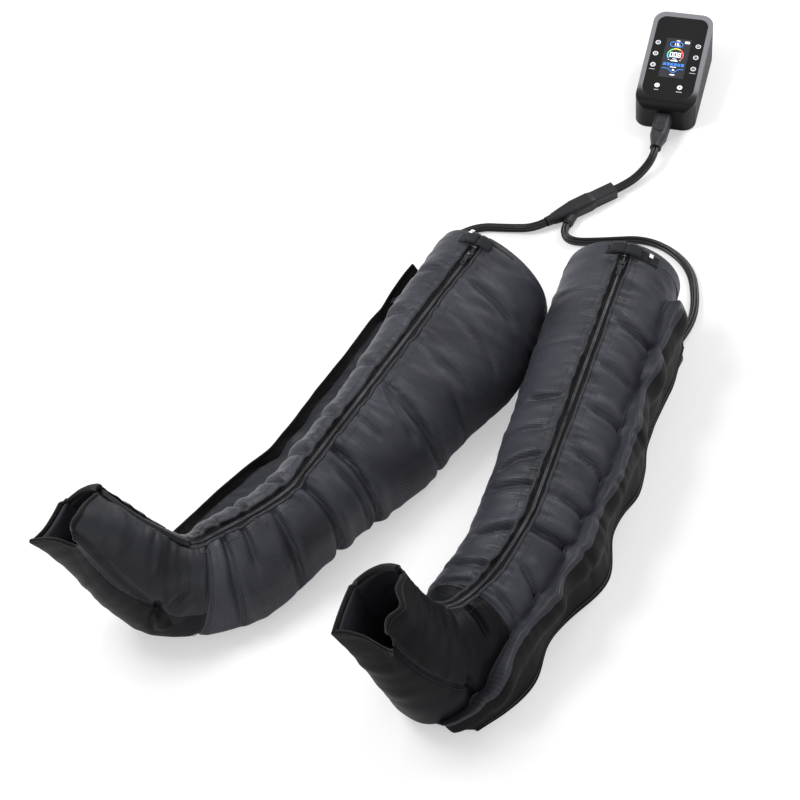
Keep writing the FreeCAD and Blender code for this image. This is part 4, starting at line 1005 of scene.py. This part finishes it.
pocketForm = {"thickness": 0.0022, "rows": 260, "columns": 56, "clear": 0.0012, "floor": 0.0030,
              "hemFloor": 0.0016, "bandWave": 0.42, "seamWave": 4, "hemWave": 0.003, "footEnd": 0.16,
              "binding": 0.0028, "welt": 0.0030, "tapeLift": 0.0009}
pocketStyles = {
    # the right one slopes down to a stiff bound lip, the left one has a turned band and then a wall;
    # "places" are lines from the seam to the hem: share of the way, distance outward, rise
    "right": {
        "cloth": shadedPocketCloth, "start": 0.030, "end": 5, "seam": -4, "tuck": 0, "fold": 0.0062, "fineFade": 0,
        "calm": 0, "tape": 0.76, "stitches": (0.73,), "wall": None, "steps": (0, 0.30, 0.56, 0.74, 0.78, 1),
        "places": ((0, 0, 0), (0.36, 0.002, -0.010), (0.66, -0.002, -0.012), (1, -0.013, 0.002),
                   (1, -0.012, 0.004), (1, -0.001, 0.018)),
        "hem": [(-0.160, 0.050, 0.090), (-0.184, 0.032, 0.056), (-0.206, 0.006, 0.018),
                (-0.214, -0.040, 0.002), (-0.224, -0.153, 0.002), (-0.234, -0.227, 0.002),
                (-0.242, -0.372, 0.002), (-0.309, -0.608, 0.002), (-0.314, -0.676, 0.026)]},
    "left": {
        "cloth": legCloth, "start": 0.064, "end": 6, "seam": 24, "tuck": 80, "fold": 0.0032, "fineFade": 8,
        "calm": 3, "tape": 0.92, "stitches": (0.035, 0.165), "wall": 0.23,
        "steps": (0, 0.05, 0.22, 0.25, 0.60, 1),
        "places": ((0, 0, 0), (0, 0.008, 0.004), (0, 0.027, 0.006), (0.03, 0.029, 0.001), (0.50, 0.014, 0),
                   (1, 0, 0)),
        "hem": [(0.372, 0.143, 0.060), (0.382, 0.029, 0.002), (0.388, -0.085, 0.002),
                (0.420, -0.237, 0.002), (0.415, -0.338, 0.002), (0.444, -0.424, 0.002),
                (0.403, -0.569, 0.002), (0.408, -0.687, 0.002), (0.364, -0.796, 0.006)]},
}


def pocketSurface(form, style):
    # the plain middle surface of a pocket, from its seam on the leg to its hem
    places = np.linspace(style["start"], form["knots"][style["end"]], pocketForm["rows"])
    seed = form["seed"]
    wave = lineNoise(places, seed + 20, 0.045)
    last = clamped((places / places[-1] - 1) / pocketForm["footEnd"] + 1)
    angle = style["seam"] + pocketForm["seamWave"] * wave - style["tuck"] * last ** 2
    skin = skinPoints(form, places, angle)
    seam = skin + 0.4 * (surfaceLine(form, places, angle)[0] - skin)
    side = skinPoints(form, places, np.full(len(places), -30.0))
    across = formAt(form, places)["across"]
    hem = np.array(style["hem"])
    knots = hem[0, 1] - hem[:, 1]
    hem = along(hem, knots, np.clip(hem[0, 1] - side[:, 1], 0, knots[-1]))
    lifted(hem, pocketForm["hemFloor"])
    hem[:, :2] += across[:, :2] * pocketForm["hemWave"] * lineNoise(places, seed + 24, 0.05)[:, None]
    band = (1 + pocketForm["bandWave"] * wave)[:, None]
    guides = [seam * (1 - k) + hem * k + across * out * band + np.array([0, 0, 1.0]) * rise
              for k, out, rise in style["places"]]
    share = np.linspace(0, 1, pocketForm["columns"])
    points = along(np.array(guides), np.array(style["steps"]), share).transpose(1, 0, 2)
    return points, *np.meshgrid(places, share, indexing="ij")


def pocketFold(style, p, s, seed):
    # large folds all over, finer ones near the seam, and calm edges
    fine = softNoise(p - 0.03 * s, s, seed + 22, (0.014, 0.5))
    fine = 0.6 * fine * clamped(1 - (s - 0.2) * style["fineFade"])
    fold = style["fold"] * (softNoise(p + 0.05 * s, s, seed + 21, (0.035, 0.8)) + fine)
    return (fold * clamped(np.sin(math.pi * s) * 1.4) * np.clip((style["tape"] - s) * 8, 0.15, 1)
            * np.clip(1.6 - style["calm"] * s, 0.04, 1))


def addPocket(name, form):
    shape, style = pocketForm, pocketStyles[name]
    rows, columns = shape["rows"], shape["columns"]
    points, p, s = pocketSurface(form, style)
    normal = gridNormal(points)
    normal *= np.sign(normal[..., 2].mean())
    outer = points + normal * (pocketFold(style, p, s, form["seed"]) + shape["clear"])[..., None]
    lifted(outer, shape["floor"])
    inner = lifted(outer - normal * shape["thickness"], ground)
    width, length = (float(np.linalg.norm(np.diff(outer, axis=k), axis=-1).sum(k).mean()) for k in (1, 0))
    uvs = np.stack([p, s * width], -1)
    sheet = onSleeve(shellPiece(name + "_pocket_cloth", outer, inner, uvs), style["cloth"],
                     name + "_hose_pocket")
    if style["wall"]:
        # painted shade: the outer side of the wall, from this share of the way to the hem, takes the
        # near-black copy of the cloth
        sheet.data.materials.append(shadedWallCloth)
        wall = np.tile(np.arange(columns - 1) >= int(columns * style["wall"]), 2 * (rows - 1)).astype(int)
        indices = np.zeros(len(sheet.data.polygons), int)
        indices[:len(wall)] = wall
        sheet.data.polygons.foreach_set("material_index", indices)
    for label, column, cloth in (("binding", -1, binding), ("welt", 0, weltCloth)):
        line = lifted(outer[:, column].copy(), shape[label] + hemShape["clear"])
        onSleeve(tubePiece(f"{name}_pocket_{label}", [line], shape[label]), cloth)
    strip = int(columns * style["tape"])
    tape = outer[:, strip:] + normal[:, strip:] * shape["tapeLift"]
    under = tape - normal[:, strip:] * (shape["thickness"] + 2 * shape["tapeLift"])
    onSleeve(shellPiece(name + "_pocket_tape", tape, under, uvs[:, strip:]), binding)
    lines = [(outer[:, int(columns * k)], normal[:, int(columns * k)]) for k in style["stitches"]]
    stitchPiece(name + "_pocket_stitching", lines)


strapShape = {"start": 0.007, "width": 0.025, "thickness": 0.0018, "lift": 0.0022, "slack": 0.0006,
              "wire": 0.0024, "ringDepth": 0.014, "rows": 40, "columns": 6, "length": 0.09,
              "long": (34, 26, 18, 10), "short": (19, 14, 9)}


def addStraps(name, form):
    # each end comes up over the leg, goes round the ring's bar and lies back on itself
    shape = strapShape
    low, thickness = shape["lift"], shape["thickness"]
    high = low + thickness * 2 + shape["slack"] * 2 + shape["wire"]
    turn = shape["ringDepth"] / 2 - shape["wire"] * 1.5 - shape["slack"] - thickness / 2
    ends = np.linspace(shape["start"], shape["start"] + shape["width"], shape["columns"])
    bends = ((slotHalf, low), (turn * 1.1, low), (turn - 0.0012, (low + high) / 2), (turn * 1.1, high),
             (slotHalf + 0.004, high - 0.0003), (slotHalf + 0.016, low + thickness * 1.5))
    for label, side in (("long", form["side"]), ("short", -form["side"])):
        rows = [skinPoints(form, ends, np.full(shape["columns"], 90.0 - side * reach), -low)
                for reach in shape[label]]
        rows = np.array(rows + [crestLine(form, ends, side * out, lift) for out, lift in bends])
        fine = np.stack([smoothPath(rows[:, j], shape["rows"]) for j in range(shape["columns"])], 1)
        normal = gridNormal(fine)
        normal *= np.sign(normal[0, :, 2].mean()) * thickness / 2
        uvs = np.stack(np.meshgrid(np.linspace(0, shape["length"], shape["rows"]),
                                   np.linspace(0, shape["width"], shape["columns"]), indexing="ij"), -1)
        onSleeve(shellPiece(f"{name}_{label}_strap", fine + normal, fine - normal, uvs), strapWeb,
                 name + "_strap")


for number, (name, spec) in enumerate(sleeveForms.items()):
    addSleeve(name, spec, 40 * number + 7)

pumpFace = {"place": (0.109, 0.648, 0.066), "turn": 11.5, "tilt": 8.5, "glassTop": -0.0002, "capTop": 0.0005,
            "thickness": 0.00012, "screen": (0, 0.129)}
pumpTurn, pumpTilt = math.radians(pumpFace["turn"]), math.radians(pumpFace["tilt"])


def turned(x, y):
    # a flat direction of the pump, as it lies on the floor
    return x * math.cos(pumpTurn) - y * math.sin(pumpTurn), x * math.sin(pumpTurn) + y * math.cos(pumpTurn)


def facePoint(x, y, z):
    # from the pump's face, in metres from the middle of its lower end, to the world
    px, py, pz = pumpFace["place"]
    ax, ay = turned(x, y * math.cos(pumpTilt) - z * math.sin(pumpTilt))
    return px + ax, py + ay, pz + y * math.sin(pumpTilt) + z * math.cos(pumpTilt)


def printPiece(name, shapes, material, body, level):
    # flat printed shapes: each is a loop of corners in millimetres on the face
    points, faces = [], []
    for loop in shapes:
        start, count = len(points), len(loop)
        for lift in (-pumpFace["thickness"], pumpFace["thickness"]):
            points += [facePoint(x / 1000, y / 1000, level + lift) for x, y in loop]
        faces.append(tuple(start + i for i in range(count))[::-1])
        faces.append(tuple(start + count + i for i in range(count)))
        faces += [(start + i, start + (i + 1) % count, start + count + (i + 1) % count, start + count + i)
                  for i in range(count)]
    piece = useMaterial(meshPiece(name, points, faces, False), material)
    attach(piece, body)
    return piece


def barShape(x, y, width, height):
    x, y = x - width / 2, y - height / 2
    return [(x, y), (x + width, y), (x + width, y + height), (x, y + height)]


def frameShapes(x, y, width, height, stroke, reach):
    # four bars round a middle; the reach is how far out each pair of them lies
    return ([barShape(x, y + k * reach[1], width, stroke) for k in (1, -1)]
            + [barShape(x + k * reach[0], y, stroke, height) for k in (-1, 1)])


def arcShapes(x, y, radius, width, start, end, pieces):
    marks = [math.radians(start + (end - start) * k / pieces) for k in range(pieces + 1)]
    return [[(x + r * math.cos(t), y + r * math.sin(t))
             for r, t in ((radius, a), (radius + width, a), (radius + width, b), (radius, b))]
            for a, b in zip(marks, marks[1:])]


def lineShape(x0, y0, x1, y1, width):
    length = math.hypot(x1 - x0, y1 - y0)
    nx, ny = (y0 - y1) / length * width / 2, (x1 - x0) / length * width / 2
    return [(x0 + nx, y0 + ny), (x0 - nx, y0 - ny), (x1 - nx, y1 - ny), (x1 + nx, y1 + ny)]


def digitShapes(digit, x, y, width, height, stroke):
    # a number from seven bars
    lit = {0: "abcdef", 1: "bc", 5: "afgcd", 8: "abcdefg"}[digit]
    half, rise = (width - stroke) / 2, (height - stroke) / 2
    level = {"a": rise, "g": 0, "d": -rise}
    upright = {"b": (half, rise), "c": (half, -rise), "f": (-half, rise), "e": (-half, -rise)}
    return [barShape(x, y + level[k], width, stroke) if k in level
            else barShape(x + upright[k][0], y + upright[k][1] / 2, stroke, height / 2) for k in lit]


def glowing(name, colour, strength):
    material, tree, shader = newMaterial(name, colour, 0.4)
    shader.inputs["Emission Color"].default_value = linear(colour)
    shader.inputs["Emission Strength"].default_value = strength
    return material


screenColours = {"white": "eef2f8", "blue": "3f86e8", "cyan": "35c6dd", "green": "6fcf5c", "yellow": "e8c93f",
                 "red": "e0564e"}
screenGlow = 0.9
inkLift = 0.0002
gaugeArcs = (("cyan", 215, 165), ("green", 165, 110), ("yellow", 110, 60), ("red", 60, -35))
# plain marks in millimetres from the screen's middle: x, y, width, height
screenBars = [(4.0, 33.5, 1.4, 2.0), (-1, 46, 8, 1.5), (17, 43.7, 5, 3), (23.2, 43.7, 1.2, 2),
              (-1, -2.6, 9, 1.2), (-1, -7.4, 15, 2.0), (-13, -5.2, 3, 1.0), (11, -5.2, 3, 1.0),
              (0, -24.4, 13, 1.3), (1.5, -31.5, 4.2, 3.6), (1.5, -44.5, 10, 2.4)]
screenStep = [(-23, -28.5), (-10, -28.5), (-1, -38), (4, -38), (13, -28.5), (23, -28.5)]


def addScreen():
    x, y = (1000 * v for v in pumpFace["screen"])
    marks = {colour: [] for colour in screenColours}
    # top: a pill with a number, and a battery
    for side, start in ((-1, 90), (1, -90)):
        marks["blue"].append(barShape(x - 3, y + 36 + side * 6.0, 15, 1.1))
        marks["blue"] += arcShapes(x - 3 + side * 7.5, y + 36, 5.4, 1.1, start, start + 180, 12)
    for digit, place in ((1, -7.5), (5, -0.5)):
        marks["white"] += digitShapes(digit, x + place, y + 36, 4.4, 7.4, 1.2)
    marks["white"] += frameShapes(x + 18, y + 43.7, 9, 5, 0.8, (4.1, 2.5))
    # middle: a gauge with three numbers
    for colour, start, end in gaugeArcs:
        marks[colour] += arcShapes(x - 1, y + 8, 15.4, 2.2, start, end, 10)
    for digit, place in ((0, -8.4), (0, 0), (8, 8.4)):
        marks["white"] += digitShapes(digit, x - 1 + place, y + 8.5, 6.4, 12.5, 1.5)
    # low: six small boxes and a stepped line
    for i in range(6):
        centre = x - 19 + 7.6 * i
        marks["blue"] += frameShapes(centre, y - 17.5, 5.4, 5.4, 0.9, (2.3, 2.9))
        marks["blue"].append(barShape(centre, y - 17.5, 2.0, 2.2))
    marks["blue"] += [lineShape(x + a[0], y + a[1], x + b[0], y + b[1], 1.1)
                      for a, b in zip(screenStep, screenStep[1:])]
    marks["white"] += [barShape(x + a, y + b, w, h) for a, b, w, h in screenBars]
    for colour, shapes in marks.items():
        printPiece("screen_" + colour, shapes, glowing("screen " + colour, screenColours[colour], screenGlow),
                   "pump", pumpFace["glassTop"] + inkLift)


# each key: its place on the face in millimetres, its symbol, and the size of the bar printed under it
keySet = {"key_left_top": (-43, 165.4, "heat", None), "key_left_middle": (-43, 135.5, "mode", None),
          "key_left_low": (-43, 105.4, "clock", (12, 1.3)), "key_right_top": (43, 165.4, "more", None),
          "key_right_middle": (43, 135.5, "less", None), "key_right_low": (43, 105.4, "tick", (13, 1.3)),
          "key_base_left": (-24, 53, "power", (9, 1.4)), "key_base_right": (24, 53, "start", (13, 1.4))}
keyPrint = {"radius": 5.6, "ring": 1.7, "barDrop": 11.2}
ringTurns = np.linspace(0, 2 * math.pi, 49)[:-1]
# the symbols: bars, arcs and lines round the middle of a key
keySymbols = {
    "power": {"arcs": [(2.4, 0.7, 120, 420, 16)], "bars": [(0, 2.2, 0.7, 3.0)]},
    "clock": {"arcs": [(2.6, 0.6, 0, 360, 20)], "bars": [(0, 0.9, 0.6, 2.2), (0.8, 0, 2.0, 0.6)]},
    "heat": {"lines": [(d, -2.4, d + 0.9, 0, 0.7) for d in (-2.4, -0.4, 1.6)]
             + [(d + 0.9, 0, d, 2.4, 0.7) for d in (-2.4, -0.4, 1.6)]},
    "tick": {"lines": [(-2.2, 0, -0.5, -1.8, 0.8), (-0.5, -1.8, 2.4, 2.0, 0.8)]},
    "start": {"corners": [(-1.4, -2.2), (2.4, 0), (-1.4, 2.2)]},
    "more": {"bars": [(0, 0, 4.6, 0.8), (0, 0, 0.8, 4.6)]}, "less": {"bars": [(0, 0, 4.6, 0.8)]},
    "mode": {"bars": [(0, 1.8, 4.4, 0.7), (0, 0, 4.4, 0.7), (0, -1.8, 4.4, 0.7)]},
}


def keyMarks(kind, x, y):
    # a plain symbol on each key
    marks = keySymbols[kind]
    made = [shape for row in marks.get("arcs", []) for shape in arcShapes(x, y, *row)]
    made += [barShape(x + a, y + b, w, h) for a, b, w, h in marks.get("bars", [])]
    made += [lineShape(x + a, y + b, x + c, y + d, w) for a, b, c, d, w in marks.get("lines", [])]
    return made + ([[(x + a, y + b) for a, b in marks["corners"]]] if "corners" in marks else [])


def addKeyMarks():
    # a white ring and symbol on the side keys, a white disc with a dark symbol on the two low ones
    level, radius = pumpFace["capTop"] + 0.0001, keyPrint["radius"]
    bars = []
    for key, (x, y, kind, bar) in keySet.items():
        if bar:
            bars.append(barShape(x, y - keyPrint["barDrop"], *bar))
        if key.startswith("key_base"):
            disc = [(x + radius * math.cos(t), y + radius * math.sin(t)) for t in ringTurns]
            printPiece(key + "_disc", [disc], keyWhite, key, level)
            printPiece(key + "_mark", keyMarks(kind, x, y), keyInk, key, level + 0.0003)
        else:
            ring = arcShapes(x, y, radius - keyPrint["ring"], keyPrint["ring"], 0, 360, 36)
            printPiece(key + "_mark", ring + keyMarks(kind, x, y), keyWhite, key, level)
    printPiece("panel_bars", bars, panelInk, "pump", pumpFace["glassTop"] + inkLift)


# the silver is the bezel's paint; the edge and between colours are painted shade for its lower end and sides
bezelLook = {"base": "8a8b8f", "roughness": 0.36, "gloss": 0.22, "rise": (0.016, 0.057),
             "facing": (0.55, 0.97), "edge": "08090a", "between": "2a2b2e", "silver": "77787c", "grain": 2400,
             "strength": 0.12, "depth": 0.0003}


def bezelPaintAndShade():
    # satin silver paint round the panel, with painted shade taking it to near black over the rolled lower end
    # and the sides: darker lower down the pump and where the surface turns away from the face
    look = bezelLook
    material, tree, shader = newMaterial("bezel paint with painted shade", look["base"], look["roughness"], gloss=look["gloss"])
    place = addNode(tree, "TexCoord").outputs
    uphill = (*turned(0, 1), 0)
    outward = (*turned(0, -math.sin(pumpTilt)), math.cos(pumpTilt))
    start = Vector(pumpFace["place"]).dot(uphill)
    spans = (("Object", uphill, [start + k for k in look["rise"]]), ("Normal", outward, look["facing"]))
    shares = []
    for source, direction, (low, high) in spans:
        dot = addNode(tree, "VectorMath", {0: place[source], 1: direction}, operation="DOT_PRODUCT")
        spread = addNode(tree, "MapRange", {"Value": dot.outputs["Value"], "From Min": low, "From Max": high},
                         interpolation_type="SMOOTHSTEP")
        shares.append(spread.outputs["Result"])
    # painted shade: where the surface lies low or turns from the face, the ramp goes from silver to near
    # black
    addRamp(tree, shader, maths(tree, "MULTIPLY", *shares), (0, look["edge"]), (1, look["silver"]),
            (0.45, look["between"]))
    grain = addNoise(tree, place["Object"], look["grain"])
    addBump(tree, shader, grain, look["strength"], look["depth"])
    return material


buttonRing = {"half": (0.0094, 0.0134), "drop": 0.0009, "radius": 0.0008, "sides": 8}


def addButtonRing():
    # the dark groove round the plug's button
    low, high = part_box("plug_button")
    x, y, _ = ((a + b) / 2 for a, b in zip(low, high))
    a, b = buttonRing["half"]
    flat = [turned(a * math.cos(t), b * math.sin(t)) for t in (*ringTurns, 0)]
    path = np.array([(x + dx, y + dy, high[2] - buttonRing["drop"]) for dx, dy in flat])
    groove = tubePiece("button_groove", [path], buttonRing["radius"], buttonRing["sides"])
    useMaterial(groove, panelBlack)
    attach(groove, "main_hose_set")


addButtonRing()
addScreen()
addKeyMarks()
print("pump face printed")

nodeFinish = [
    (bezelPaintAndShade(), "front_shell"), (blackShell, "rear_shell"), (panelBlack, "front_panel"),
    (screenGrey, "screen_lens"), (softRubber, "rubber_feet"), (graphite, "plug_shell"),
    (innerPlastic, "display_module key_board main_board air_pump valve_manifold battery_pack inner_tubes"),
    (graphiteDark, "outlet_socket plug_nose plug_button inline_plug splitter_shell tail_relief"),
    (graphiteDark, "outlet_relief right_hose_socket left_hose_socket"), (keyBlack, " ".join(keySet)),
    (ringChrome, "right_strap_ring left_strap_ring"), (sliderMetal, "charge_jack shell_screws"),
    (sliderMetal, "right_zip_slider left_zip_slider right_zip_pull left_zip_pull"),
]
for material, names in nodeFinish:
    for name in names.split():
        paintNode(name, material)
print("CAD pieces finished")
